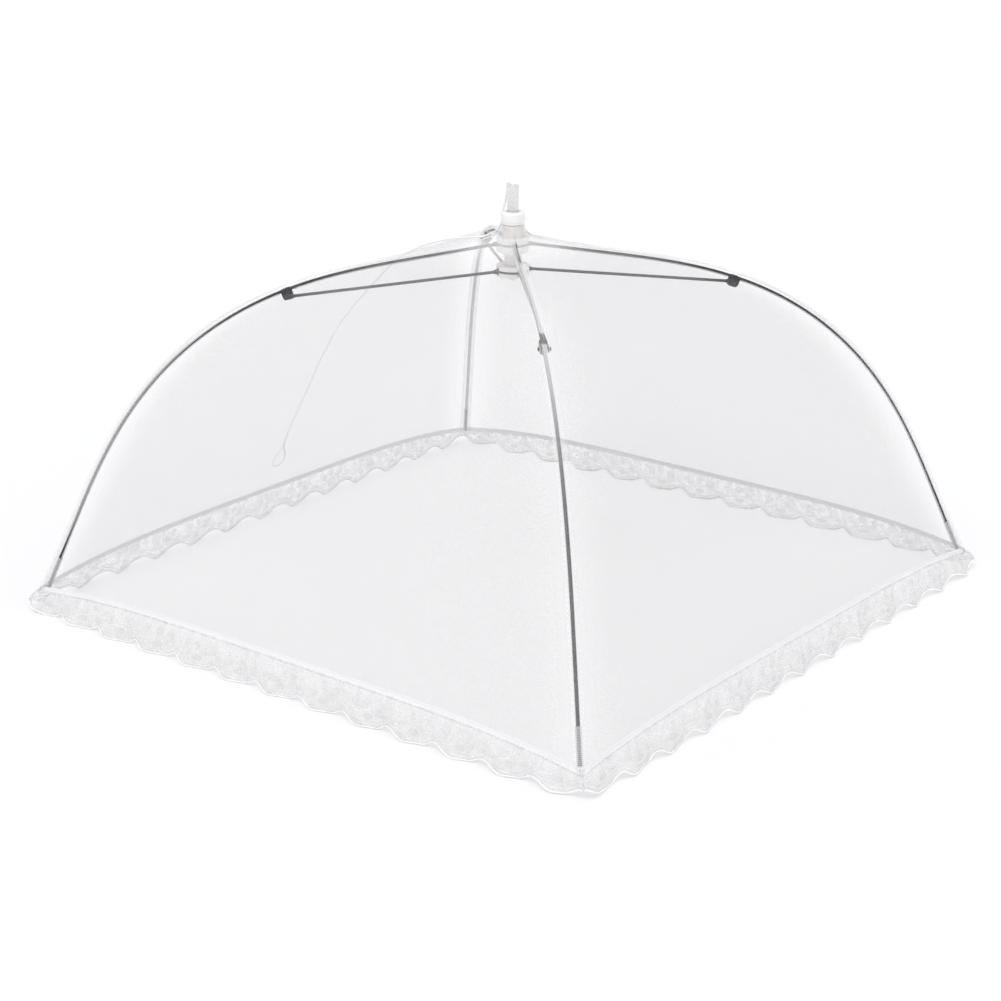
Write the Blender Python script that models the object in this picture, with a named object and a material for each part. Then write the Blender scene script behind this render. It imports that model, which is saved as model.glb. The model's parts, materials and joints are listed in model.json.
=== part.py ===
"""Mesh food cover umbrella: a square net canopy on four curved ribs that folds by a pull cord."""

import math

import bmesh
import bpy
from mathutils import Matrix, Vector

# Sizes are in metres and angles in radians. The origin is on the table under the middle of
# the cover, +Z is up, and the four sides of the hem run along X and Y.

SIDES = 4
QUARTER = 2 * math.pi / SIDES
RUNNING_GAP = 0.0003
CUT_OVERRUN = 0.002
WELD_SHARE = 0.1
SHARP_ANGLE = math.radians(35)
BORE_SIDES = 12

# Ribs: one wire, nearly straight at the crown and at the tip, bent in between
RIB_LENGTH = 0.3685
RIB_RADIUS = 0.00095
RIB_START_ANGLE = math.radians(8.5)
RIB_END_ANGLE = math.radians(66)
RIB_BEND_CENTRE_SHARE = 0.51
RIB_BEND_WIDTH_SHARE = 0.75
RIB_PIVOT_RADIUS = 0.008
RIB_STATIONS = 22
WIRE_SIDES = 8
TIP_HEIGHT = 0.013
TONGUE_HALF_THICKNESS = 0.0008
EYE_WALL = 0.00085
TONGUE_LENGTH = 0.0045

# Crown, cap and their wire ring
RING_WIRE_RADIUS = 0.00045
CROWN_FLANGE_RADIUS = 0.0096
CROWN_FLANGE_TOP = 0.0035
CROWN_FLANGE_BOTTOM = 0.0045
CROWN_NECK_RADIUS = 0.0064
CROWN_NECK_TOP = 0.0115
CROWN_STOP_RADIUS = 0.0052
CAP_RADIUS = 0.0071
CAP_HEIGHT = 0.0073
CAP_FILLET = 0.0018
TURNED_SIDES = 24
RING_SIDES = 24

# Runner, its wire ring and the push tube that stands out of the cap
RUNNER_DROP = 0.016
RUNNER_RING_RADIUS = 0.0087
RUNNER_RADIUS = 0.0098
RUNNER_HALF_HEIGHT = 0.0032
RUNNER_FLOOR = 0.001
TUBE_RADIUS = 0.0034
TUBE_WALL = 0.0013
TUBE_RISE = 0.0155

# Stretchers and the clips that join them to the ribs
CLIP_STATION_SHARE = 0.347
CLIP_PIN_DEPTH = 0.0035
CLIP_LENGTH = 0.0065
CLIP_WALL = 0.0006
CLIP_LIP = 0.0009
CLIP_WEB_DEPTH = 0.0054
PIN_RADIUS = 0.00045
PIN_HEAD_RADIUS = 0.0012
PIN_HEAD_HEIGHT = 0.0006
STRETCHER_RADIUS = 0.0009
STRETCHER_EYE_CLEARANCE = 0.00055
STRETCHER_EYE_WALL = 0.001
STRETCHER_TONGUE_HALF_THICKNESS = 0.0007

# Net, seam tapes, hem tapes and corner pockets
CLOTH_THICKNESS = 0.0004
NET_OFFSET = 0.0024
NET_CORNER_OFFSET = 0.0035
NET_FLARE_START_SHARE = 0.86
NET_JOIN_STATION = 0.028
NET_ROUND_RADIUS = 0.012
NET_GATHER_LEAD_SHARE = 0.67
NET_SAG = 0.004
NET_SAG_START_SHARE = 0.25
NET_OVERHANG = 0.0055
NET_HEM_BULGE = 0.0016
NET_HEM_LIFT = 0.0094
NET_HEM_START_SHARE = 0.75
NET_HEM_ARCH_POWER = 4
NET_GATHER_ROWS = 5
NET_RIB_ROWS = 12
NET_COLUMNS = 8
SEAM_HALF_WIDTH = 0.005
HEM_BAND_HEIGHT = 0.004
POCKET_LENGTH = 0.02
POCKET_WALL = 0.00045

# Lace: a ruffled strip with a scalloped lower edge, on which the cover stands
LACE_THICKNESS = 0.0007
LACE_REACH = 0.006
LACE_SCALLOPS = 13
LACE_SCALLOP_DEPTH = 0.0045
LACE_BLUNT_POWER = 4
LACE_RUFFLE = 0.0024
LACE_CORNER_SHARE = 0.85
LACE_CORNER_REACH = 0.03
LACE_COLUMNS_PER_SCALLOP = 6
LACE_ROWS = 3
LACE_LAP = 0.0015
FOOT_CUT = 0.0005

# Pull cord: knotted under the runner, up through the push tube, over its lip and the cap, and
# down one panel to a small tied loop
CORD_RADIUS = 0.0006
CORD_RESOLUTION = 2
CORD_SPACING = 0.007
KNOT_RADIUS = 0.0014
KNOT_LENGTH = 0.0034
LOOP_LENGTH = 0.0155
LOOP_HALF_WIDTH = 0.0062
LOOP_POINTS = 16
CORD_ROUTE = [
    (0.0000, 0.0000, 0.2489), (0.0000, 0.0000, 0.2503), (0.0000, 0.0004, 0.2514),
    (0.0000, 0.0013, 0.2521), (0.0001, 0.0024, 0.2523), (0.0002, 0.0035, 0.2521),
    (0.0003, 0.0043, 0.2513), (0.0004, 0.0047, 0.2500), (0.0005, 0.0049, 0.2470),
    (0.0007, 0.0057, 0.2425), (0.0010, 0.0072, 0.2378), (0.0013, 0.0086, 0.2340),
    (0.0017, 0.0094, 0.2300), (0.0021, 0.0103, 0.2266), (0.0024, 0.0138, 0.2218),
    (0.0032, 0.0187, 0.2191), (0.0046, 0.0261, 0.2158), (0.0062, 0.0346, 0.2139),
    (0.0086, 0.0456, 0.2115), (0.0114, 0.0586, 0.2082), (0.0142, 0.0729, 0.2037),
    (0.0170, 0.0873, 0.1980), (0.0195, 0.1016, 0.1907), (0.0213, 0.1146, 0.1812),
    (0.0219, 0.1271, 0.1699), (0.0198, 0.1355, 0.1603), (0.0158, 0.1416, 0.1520),
    (0.0130, 0.1483, 0.1424), (0.0114, 0.1541, 0.1333), (0.0097, 0.1602, 0.1219),
    (0.0076, 0.1662, 0.1097), (0.0058, 0.1711, 0.0983), (0.0040, 0.1756, 0.0880),
    (0.0023, 0.1793, 0.0794), (0.0009, 0.1831, 0.0710), (0.0005, 0.1870, 0.0631),
    (0.0010, 0.1914, 0.0541),
]


def smooth_step(value):
    """Rise smoothly from 0 to 1 as the value does."""
    held = min(max(value, 0), 1)
    return held * held * (3 - 2 * held)


def mix(first, second, share):
    """Go from the first value to the second by a share."""
    return first + (second - first) * share


# Rib curve, in the upright plane of one rib: x away from the axis, y up, from the pivot

def rib_angle(station):
    """Slope of the rib below level, at a distance along the wire."""
    start = RIB_BEND_CENTRE_SHARE - RIB_BEND_WIDTH_SHARE / 2
    turned = smooth_step((station / RIB_LENGTH - start) / RIB_BEND_WIDTH_SHARE)
    return mix(RIB_START_ANGLE, RIB_END_ANGLE, turned)


RIB_STEPS = 240


def rib_point(station):
    """Place on the rib's centre line, by small steps along the wire."""
    if station <= 0:
        return Vector((station * math.cos(RIB_START_ANGLE), -station * math.sin(RIB_START_ANGLE)))
    place = Vector((0, 0))
    step = station / RIB_STEPS
    for index in range(RIB_STEPS):
        angle = rib_angle(step * (index + 0.5))
        place += Vector((math.cos(angle), -math.sin(angle))) * step
    return place


def rib_normal(station):
    """Outward direction, square to the rib, in its own plane."""
    angle = rib_angle(max(station, 0))
    return Vector((math.sin(angle), math.cos(angle)))


CROWN_HEIGHT = TIP_HEIGHT - rib_point(RIB_LENGTH).y
RUNNER_HEIGHT = CROWN_HEIGHT - RUNNER_DROP
CAP_BASE = CROWN_HEIGHT + CROWN_NECK_TOP + RUNNING_GAP
CAP_TOP = CAP_BASE + CAP_HEIGHT
TUBE_TOP = CAP_TOP + TUBE_RISE
TUBE_FOOT = RUNNER_HEIGHT - RUNNER_HALF_HEIGHT + RUNNER_FLOOR + RUNNING_GAP
SLIDE_BORE_RADIUS = TUBE_RADIUS + RUNNING_GAP
TUBE_BORE_RADIUS = TUBE_RADIUS - TUBE_WALL
EYE_BORE_RADIUS = RING_WIRE_RADIUS + RUNNING_GAP
EYE_RADIUS = EYE_BORE_RADIUS + EYE_WALL
STRETCHER_EYE_BORE_RADIUS = RING_WIRE_RADIUS + STRETCHER_EYE_CLEARANCE
STRETCHER_EYE_RADIUS = STRETCHER_EYE_BORE_RADIUS + STRETCHER_EYE_WALL
STRETCHER_OFFSET = RIB_RADIUS + CLIP_WALL + STRETCHER_RADIUS + 2 * RUNNING_GAP
SEAT_BORE_RADIUS = PIN_RADIUS + RUNNING_GAP


def rib_azimuth(index):
    """Direction of a rib seen from above: the corners of the square."""
    return QUARTER * (index + 0.5)


# Mesh helpers

def make_material(name, colour, roughness, metallic=0.0, alpha=1.0):
    """One Principled material for a kind of piece."""
    material = bpy.data.materials.new(name)
    material.use_nodes = True
    shader = material.node_tree.nodes["Principled BSDF"]
    shader.inputs["Base Color"].default_value = (*colour, 1)
    shader.inputs["Roughness"].default_value = roughness
    shader.inputs["Metallic"].default_value = metallic
    shader.inputs["Alpha"].default_value = alpha
    return material


def link_mesh(name, mesh, material, azimuth=0.0):
    """Put a mesh in the scene, turned about the cover's axis."""
    item = bpy.data.objects.new(name, mesh)
    item.rotation_euler = (0, 0, azimuth)
    if not mesh.materials:
        mesh.materials.append(material)
    bpy.context.collection.objects.link(item)
    return item


def finish_mesh(name, form):
    """Turn a bmesh into a closed mesh with its faces pointing out."""
    bmesh.ops.recalc_face_normals(form, faces=form.faces)
    mesh = bpy.data.meshes.new(name)
    form.to_mesh(mesh)
    form.free()
    mesh.shade_smooth()
    mesh.set_sharp_from_angle(angle=SHARP_ANGLE)
    return mesh


def skin_rings(name, rings):
    """Closed solid through rings of equal length, with a face at each end."""
    form = bmesh.new()
    rows = [[form.verts.new(place) for place in ring] for ring in rings]
    for lower, upper in zip(rows, rows[1:]):
        for index in range(len(lower)):
            after = (index + 1) % len(lower)
            form.faces.new((lower[index], lower[after], upper[after], upper[index]))
    form.faces.new(rows[0])
    form.faces.new(rows[-1])
    return finish_mesh(name, form)


def skin_slab(name, outer, inner):
    """Closed sheet between two grids of points."""
    form = bmesh.new()
    top = [[form.verts.new(place) for place in row] for row in outer]
    low = [[form.verts.new(place) for place in row] for row in inner]
    last_row = len(top) - 1
    last_column = len(top[0]) - 1
    for grid in (top, low):
        for row in range(last_row):
            for column in range(last_column):
                form.faces.new((grid[row][column], grid[row][column + 1],
                                grid[row + 1][column + 1], grid[row + 1][column]))
    for row in range(last_row):
        for column in (0, last_column):
            form.faces.new((top[row][column], top[row + 1][column],
                            low[row + 1][column], low[row][column]))
    for column in range(last_column):
        for row in (0, last_row):
            form.faces.new((top[row][column], top[row][column + 1],
                            low[row][column + 1], low[row][column]))
    return finish_mesh(name, form)


def turn_profile(name, profile, sides=TURNED_SIDES):
    """Solid of revolution about Z of a closed profile of (radius, height)."""
    form = bmesh.new()
    start = [form.verts.new((radius, 0, height)) for radius, height in profile]
    edges = [form.edges.new((start[i], start[(i + 1) % len(start)])) for i in range(len(start))]
    bmesh.ops.spin(form, geom=start + edges, cent=(0, 0, 0), axis=(0, 0, 1),
                   angle=2 * math.pi, steps=sides, use_merge=True)
    bmesh.ops.remove_doubles(form, verts=form.verts, dist=RUNNING_GAP * WELD_SHARE)
    return finish_mesh(name, form)


def box_cutter(low, high):
    """Bmesh box between two corners."""
    form = bmesh.new()
    size = high - low
    centre = (high + low) / 2
    bmesh.ops.create_cube(form, size=1,
                          matrix=Matrix.Translation(centre) @ Matrix.Diagonal((*size, 1)))
    return form


def cross_bore(radius, length, place):
    """Bmesh cylinder lying along Y, for a bore across a piece."""
    form = bmesh.new()
    bmesh.ops.create_cone(form, cap_ends=True, segments=BORE_SIDES, radius1=radius,
                          radius2=radius, depth=length,
                          matrix=Matrix.Translation(place) @ Matrix.Rotation(QUARTER, 4, "X"))
    return form


def add_cut(item, cutter_form, azimuth=0.0):
    """Cut a piece by a hidden guide solid."""
    mesh = finish_mesh(item.name + "_cutter", cutter_form)
    guide = bpy.data.objects.new(item.name + "_cutter", mesh)
    guide.rotation_euler = (0, 0, azimuth)
    guide.hide_render = True
    guide.display_type = "WIRE"
    bpy.context.collection.objects.link(guide)
    cut = item.modifiers.new("cut", "BOOLEAN")
    cut.operation = "DIFFERENCE"
    cut.solver = "EXACT"
    cut.object = guide


def wire_ring_section(half_width, half_height):
    """Points of a rounded wire section: across, then along its own height."""
    outline = []
    for index in range(WIRE_SIDES):
        turn = 2 * math.pi * (index + 0.5) / WIRE_SIDES
        outline.append((half_width * math.cos(turn), half_height * math.sin(turn)))
    return outline


def plane_place(along, across, height):
    """Point of a rib's upright plane, with a distance across it."""
    return Vector((along, across, height))


# Canopy surface. A row of the net is a level line round the cover: its corner radius and
# height in a rib's plane, the slope there, how round it is, how far its middle sags inward and
# how much of the hem's arch it has.

NET_LENGTH = RIB_LENGTH + NET_OVERHANG


def net_offset(station):
    """Distance of the net's corner from the rib's centre line."""
    share = (station / RIB_LENGTH - NET_FLARE_START_SHARE) / (1 - NET_FLARE_START_SHARE)
    return mix(NET_OFFSET, NET_CORNER_OFFSET, smooth_step(share))


def net_corner(station):
    """Corner of the net over a rib: radius from the axis and height over the table."""
    place = rib_point(station) + rib_normal(station) * net_offset(station)
    return Vector((RIB_PIVOT_RADIUS + place.x, CROWN_HEIGHT + place.y))


def rib_row(station):
    """Row of the net at a distance along the ribs."""
    reach = RIB_LENGTH / RIB_STEPS
    slope = net_corner(station + reach) - net_corner(station - reach)
    share = station / NET_LENGTH
    sag = NET_SAG * math.sin(math.pi * share) * smooth_step(share / NET_SAG_START_SHARE)
    arch = smooth_step((share - NET_HEM_START_SHARE) / (1 - NET_HEM_START_SHARE))
    return net_corner(station), slope, 0.0, sag, arch


def gather_row(share):
    """Row of the net where it is drawn in from the ribs to the crown's neck."""
    neck = Vector((CROWN_NECK_RADIUS + RUNNING_GAP + CLOTH_THICKNESS / 2,
                   CROWN_HEIGHT + CROWN_NECK_TOP))
    join, slope, _, sag, arch = rib_row(NET_JOIN_STATION)
    slope = slope.normalized()
    first = Vector((neck.x, CROWN_HEIGHT + CROWN_FLANGE_TOP + CLOTH_THICKNESS))
    second = join - slope * (join.x - NET_ROUND_RADIUS) * NET_GATHER_LEAD_SHARE
    rest = 1 - share
    place = (neck * rest ** 3 + first * 3 * rest ** 2 * share
             + second * 3 * rest * share ** 2 + join * share ** 3)
    tangent = ((first - neck) * rest ** 2 + (second - first) * 2 * rest * share
               + (join - second) * share ** 2)
    roundness = 1 - smooth_step((place.x - NET_ROUND_RADIUS) / (join.x - NET_ROUND_RADIUS))
    return place, tangent, roundness, sag * share, arch


def hem_arch(across):
    """Share of the hem's lift and bulge at a share across one side."""
    return 1 - across ** NET_HEM_ARCH_POWER


def cloth_point(row, across, out, gap=RUNNING_GAP):
    """Point of a sheet that lies out from the net, at a share across one side."""
    corner, slope, roundness, sag, arch = row
    width = mix(math.cos(QUARTER / 2), 1, roundness)
    normal = Vector((-slope.y, slope.x * width)).normalized()
    radius = corner.x + out * normal.x / width
    arch *= hem_arch(across)
    height = corner.y + out * normal.y + NET_HEM_LIFT * arch
    half = radius * math.cos(QUARTER / 2)
    turn = across * (QUARTER / 2 - gap / radius)
    level = mix(across * (half - gap), radius * math.sin(turn), roundness)
    away = mix(half, radius * math.cos(turn), roundness)
    away += NET_HEM_BULGE * arch - sag * (1 - across * across)
    return Vector((away, level, height))


def cloth_sheet(name, rows, columns, middle, thickness):
    """Sheet of cloth over a set of rows, on one side of the cover."""
    faces = []
    for out in (middle + thickness / 2, middle - thickness / 2):
        grid = [[cloth_point(row, 2 * column / columns - 1, out) for column in range(columns + 1)]
                for row in rows]
        faces.append(grid)
    return skin_slab(name, *faces)


def spread(first, last, count):
    """Evenly spaced values from first to last."""
    return [mix(first, last, index / count) for index in range(count + 1)]


# Cloth pieces

def net_rows():
    """Rows of a net panel, from the crown's neck to the hem."""
    rows = [gather_row(share) for share in spread(0, 1, NET_GATHER_ROWS)]
    rows += [rib_row(station) for station in spread(NET_JOIN_STATION, NET_LENGTH, NET_RIB_ROWS)[1:]]
    return rows


def build_net_panels(material):
    """Four net panels, one between each pair of ribs."""
    mesh = cloth_sheet("net_panel", net_rows(), NET_COLUMNS, 0, CLOTH_THICKNESS)
    for index in range(SIDES):
        link_mesh(f"net_panel_{index + 1}", mesh, material, QUARTER * index)


HEM_TOP_STATION = NET_LENGTH - HEM_BAND_HEIGHT
TAPE_OUT = CLOTH_THICKNESS + RUNNING_GAP


def build_hem_tapes(material):
    """Four hem tapes, sewn along the lower edge of each panel."""
    rows = [rib_row(station) for station in spread(HEM_TOP_STATION, NET_LENGTH, 1)]
    mesh = cloth_sheet("hem_tape", rows, NET_COLUMNS, TAPE_OUT, CLOTH_THICKNESS)
    for index in range(SIDES):
        link_mesh(f"hem_tape_{index + 1}", mesh, material, QUARTER * index)


def build_seam_tapes(material):
    """Four tapes over the seams, each folded over one rib."""
    first = NET_JOIN_STATION
    last = HEM_TOP_STATION - RUNNING_GAP
    rings = []
    for station in spread(first, last, NET_RIB_ROWS):
        row = rib_row(station)
        half = row[0].x * math.cos(QUARTER / 2)
        wing = 1 - SEAM_HALF_WIDTH / half
        ring = []
        for out, order in ((TAPE_OUT + CLOTH_THICKNESS / 2, 1), (TAPE_OUT - CLOTH_THICKNESS / 2, -1)):
            right = cloth_point(row, wing, out)
            ridge = cloth_point(row, 1, out, gap=0)
            left = Vector((right.y, right.x, right.z))
            ring += [right, ridge, left][::order]
        rings.append(ring)
    mesh = skin_rings("seam_tape", rings)
    for index in range(SIDES):
        link_mesh(f"seam_tape_{index + 1}", mesh, material, QUARTER * index)


def lace_point(across, down, out):
    """Point of the lace at a share along the side and a share of its width."""
    hem = rib_row(NET_LENGTH)
    edge = cloth_point(hem, 1, TAPE_OUT + CLOTH_THICKNESS / 2, gap=0)
    phase = math.pi * LACE_SCALLOPS * (across + 1) / 2
    arch = hem_arch(across)
    start = edge.x + RUNNING_GAP + LACE_THICKNESS / 2
    top = Vector((start + NET_HEM_BULGE * arch, hem[0].y + LACE_LAP + NET_HEM_LIFT * arch))
    drop = Vector((start + LACE_REACH, -FOOT_CUT)) - top
    normal = Vector((-drop.y, drop.x)).normalized()
    from_corner = edge.x * (1 - abs(across))
    width = drop.length - LACE_SCALLOP_DEPTH * math.cos(phase) ** LACE_BLUNT_POWER
    width *= mix(LACE_CORNER_SHARE, 1, smooth_step(from_corner / LACE_CORNER_REACH))
    ruffle = LACE_RUFFLE * down * math.sin(phase * 2)
    place = top + drop.normalized() * width * down + normal * (ruffle + out)
    return Vector((place.x, across * (place.x - RUNNING_GAP), max(place.y, 0)))


def build_lace(material):
    """Four lace trims, with the lowest part of each scallop cut flat to stand on."""
    columns = LACE_SCALLOPS * LACE_COLUMNS_PER_SCALLOP
    grids = []
    for out in (LACE_THICKNESS / 2, -LACE_THICKNESS / 2):
        grids.append([[lace_point(across, down, out) for across in spread(-1, 1, columns)]
                      for down in spread(0, 1, LACE_ROWS)])
    mesh = skin_slab("lace_trim", *grids)
    for index in range(SIDES):
        link_mesh(f"lace_trim_{index + 1}", mesh, material, QUARTER * index)


# Ribs and what rides on them. Each is drawn in the XZ plane with its pivot on the Y axis
# through the origin, and stands at its own empty.

def rib_frame(index, name, radius, height):
    """Empty on a hinge axis, turned to a rib's plane."""
    empty = bpy.data.objects.new(f"{name}_axis_{index + 1}", None)
    azimuth = rib_azimuth(index)
    empty.location = (radius * math.cos(azimuth), radius * math.sin(azimuth), height)
    empty.rotation_euler = (0, 0, azimuth)
    bpy.context.collection.objects.link(empty)
    return empty


def rib_mesh():
    """Round rib wire whose inner end is pressed into a flat tongue with an eye."""
    tongue = TONGUE_HALF_THICKNESS
    sections = [(-EYE_RADIUS, tongue, EYE_RADIUS / 2),
                (-EYE_RADIUS / 2, tongue, EYE_RADIUS),
                (EYE_RADIUS, tongue, EYE_RADIUS)]
    sections += [(station, RIB_RADIUS, RIB_RADIUS)
                 for station in spread(TONGUE_LENGTH, RIB_LENGTH, RIB_STATIONS)]
    rings = []
    for station, half_width, half_height in sections:
        centre = rib_point(station)
        normal = rib_normal(station)
        ring = []
        for across, up in wire_ring_section(half_width, half_height):
            ring.append(plane_place(centre.x + normal.x * up, across, centre.y + normal.y * up))
        rings.append(ring)
    return skin_rings("rib", rings)


CLIP_STATION = RIB_LENGTH * CLIP_STATION_SHARE


def clip_place(along, out):
    """Point near the clip: along the rib from its middle, and out from the rib's centre."""
    centre = rib_point(CLIP_STATION)
    normal = rib_normal(CLIP_STATION)
    run = Vector((normal.y, -normal.x))
    return centre + run * along + normal * out


def clip_mesh():
    """Bent U clip that holds the rib between two cheeks and its pin below it."""
    inner = RIB_RADIUS + RUNNING_GAP
    outer = inner + CLIP_WALL
    floor = -CLIP_WEB_DEPTH
    outline = [(-outer, CLIP_LIP), (-outer, floor - CLIP_WALL), (outer, floor - CLIP_WALL),
               (outer, CLIP_LIP), (inner, CLIP_LIP), (inner, floor), (-inner, floor),
               (-inner, CLIP_LIP)]
    rings = []
    for along in (-CLIP_LENGTH / 2, CLIP_LENGTH / 2):
        ring = []
        for across, out in outline:
            place = clip_place(along, out)
            ring.append(plane_place(place.x, across, place.y))
        rings.append(ring)
    return skin_rings("rib_clip", rings)


def pin_mesh(name, from_across, to_across, head_side):
    """Pin across the rib's plane, with a low domed head at one end."""
    head_base = to_across if head_side > 0 else from_across
    shank_end = from_across if head_side > 0 else to_across
    profile = [(0, shank_end), (PIN_RADIUS, shank_end), (PIN_RADIUS, head_base),
               (PIN_HEAD_RADIUS, head_base),
               (PIN_HEAD_RADIUS, head_base + head_side * PIN_HEAD_HEIGHT / 2),
               (PIN_HEAD_RADIUS / 2, head_base + head_side * PIN_HEAD_HEIGHT),
               (0, head_base + head_side * PIN_HEAD_HEIGHT)]
    mesh = turn_profile(name, profile, sides=BORE_SIDES)
    mesh.transform(Matrix.Rotation(-QUARTER, 4, "X"))
    return mesh


def pocket_mesh():
    """Cloth pocket that holds the rib's tip, closed at the tip."""
    inner = RIB_RADIUS + RUNNING_GAP
    mouth = RIB_LENGTH - POCKET_LENGTH
    rings_out = []
    rings_in = []
    for station in spread(mouth, RIB_LENGTH + RUNNING_GAP, 2):
        held = min(station, RIB_LENGTH)
        run = Vector((rib_normal(held).y, -rib_normal(held).x))
        centre = rib_point(held) + run * (station - held)
        normal = rib_normal(held)
        for rings, radius in ((rings_out, inner + POCKET_WALL), (rings_in, inner)):
            ring = []
            for across, up in wire_ring_section(radius, radius):
                ring.append(plane_place(centre.x + normal.x * up, across,
                                        centre.y + normal.y * up))
            rings.append(ring)
    run = Vector((rib_normal(RIB_LENGTH).y, -rib_normal(RIB_LENGTH).x)) * POCKET_WALL
    shift = plane_place(run.x, 0, run.y)
    rings_out.append([place + shift for place in rings_out[-1]])
    form = bmesh.new()
    skins = []
    for rings in (rings_out, rings_in):
        rows = [[form.verts.new(place) for place in ring] for ring in rings]
        for lower, upper in zip(rows, rows[1:]):
            for index in range(WIRE_SIDES):
                after = (index + 1) % WIRE_SIDES
                form.faces.new((lower[index], lower[after], upper[after], upper[index]))
        form.faces.new(rows[-1])
        skins.append(rows[0])
    for index in range(WIRE_SIDES):
        after = (index + 1) % WIRE_SIDES
        form.faces.new((skins[0][index], skins[0][after], skins[1][after], skins[1][index]))
    return finish_mesh("corner_pocket", form)


def build_ribs(steel, dark_steel, tape):
    """Ribs with their clips, clip pins and corner pockets."""
    cheek = RIB_RADIUS + RUNNING_GAP + CLIP_WALL
    shapes = {"rib": (rib_mesh(), steel),
              "rib_clip": (clip_mesh(), dark_steel),
              "clip_pin": (pin_mesh("clip_pin", -cheek - RUNNING_GAP, cheek, -1), steel),
              "corner_pocket": (pocket_mesh(), tape)}
    pin_place = clip_place(0, -CLIP_PIN_DEPTH)
    shapes["clip_pin"][0].transform(Matrix.Translation((pin_place.x, 0, pin_place.y)))
    for index in range(SIDES):
        empty = rib_frame(index, "rib", RIB_PIVOT_RADIUS, CROWN_HEIGHT)
        pieces = {}
        for name, (mesh, material) in shapes.items():
            piece = link_mesh(f"{name}_{index + 1}", mesh.copy(), material)
            piece.parent = empty
            pieces[name] = piece
        bore = cross_bore(EYE_BORE_RADIUS, 2 * (RIB_RADIUS + CUT_OVERRUN), Vector((0, 0, 0)))
        add_cut_under(pieces["rib"], bore, empty)
        seat = cross_bore(SEAT_BORE_RADIUS, 2 * (cheek + CUT_OVERRUN),
                          Vector((pin_place.x, 0, pin_place.y)))
        add_cut_under(pieces["rib_clip"], seat, empty)


def add_cut_under(item, cutter_form, empty):
    """Cut a piece that stands at an empty by a guide that stands there too."""
    add_cut(item, cutter_form)
    item.modifiers["cut"].object.parent = empty


# Stretchers, each beside its rib's plane so that it can pass the rib and its clip

def stretcher_hinge():
    """Place of a stretcher's hinge on the runner's ring: away from the axis, and across."""
    away = math.sqrt(RUNNER_RING_RADIUS ** 2 - STRETCHER_OFFSET ** 2)
    return away, STRETCHER_OFFSET


def stretcher_end():
    """Outer end of a stretcher from its hinge, in the rib's plane: away and up."""
    pin = clip_place(0, -CLIP_PIN_DEPTH)
    away = RIB_PIVOT_RADIUS + pin.x - stretcher_hinge()[0]
    return Vector((away, CROWN_HEIGHT + pin.y - RUNNER_HEIGHT))


def stretcher_mesh():
    """Straight wire with a flat eye at each end."""
    reach = stretcher_end()
    length = reach.length
    run = reach.normalized()
    normal = Vector((-run.y, run.x))
    flat = STRETCHER_TONGUE_HALF_THICKNESS
    eye = STRETCHER_EYE_RADIUS
    neck = eye * 2
    half = [(-eye, flat, eye / 2), (-eye / 2, flat, eye), (eye / 2, flat, eye),
            (neck, STRETCHER_RADIUS, STRETCHER_RADIUS)]
    sections = half + [(length - along, width, height) for along, width, height in half[::-1]]
    rings = []
    for station, half_width, half_height in sections:
        centre = run * station
        ring = []
        for across, up in wire_ring_section(half_width, half_height):
            ring.append(plane_place(centre.x + normal.x * up, across, centre.y + normal.y * up))
        rings.append(ring)
    return skin_rings("stretcher", rings)


def build_stretchers(steel, dark_steel):
    """Stretchers with the rivets that head their outer eyes."""
    away, across = stretcher_hinge()
    end = stretcher_end()
    base = stretcher_mesh()
    flat = STRETCHER_TONGUE_HALF_THICKNESS
    rivet = pin_mesh("pivot_rivet", -flat, flat + RUNNING_GAP, 1)
    rivet.transform(Matrix.Translation((end.x, 0, end.y)))
    for index in range(SIDES):
        azimuth = rib_azimuth(index)
        empty = bpy.data.objects.new(f"stretcher_axis_{index + 1}", None)
        hinge = Matrix.Rotation(azimuth, 4, "Z") @ Vector((away, across, RUNNER_HEIGHT))
        empty.location = hinge
        empty.rotation_euler = (0, 0, azimuth)
        bpy.context.collection.objects.link(empty)
        bar = link_mesh(f"stretcher_{index + 1}", base.copy(), steel)
        bar.parent = empty
        head = link_mesh(f"pivot_rivet_{index + 1}", rivet, dark_steel)
        head.parent = empty
        bore_length = 2 * (STRETCHER_RADIUS + CUT_OVERRUN)
        bores = bmesh.new()
        for radius, place in ((STRETCHER_EYE_BORE_RADIUS, Vector((0, 0, 0))),
                              (SEAT_BORE_RADIUS, Vector((end.x, 0, end.y)))):
            bore = cross_bore(radius, bore_length, place)
            mesh = bpy.data.meshes.new("bore")
            bore.to_mesh(mesh)
            bore.free()
            bores.from_mesh(mesh)
        add_cut_under(bar, bores, empty)


# Crown, runner, cap, rings and tube

def spool_profile(bottom, top, radius, bore, groove_floor, middle, groove_half):
    """Profile of a flanged hub with a groove for its wire ring."""
    return [(bore, bottom), (radius, bottom), (radius, middle - groove_half),
            (groove_floor, middle - groove_half), (groove_floor, middle + groove_half),
            (radius, middle + groove_half), (radius, top), (bore, top)]


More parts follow.
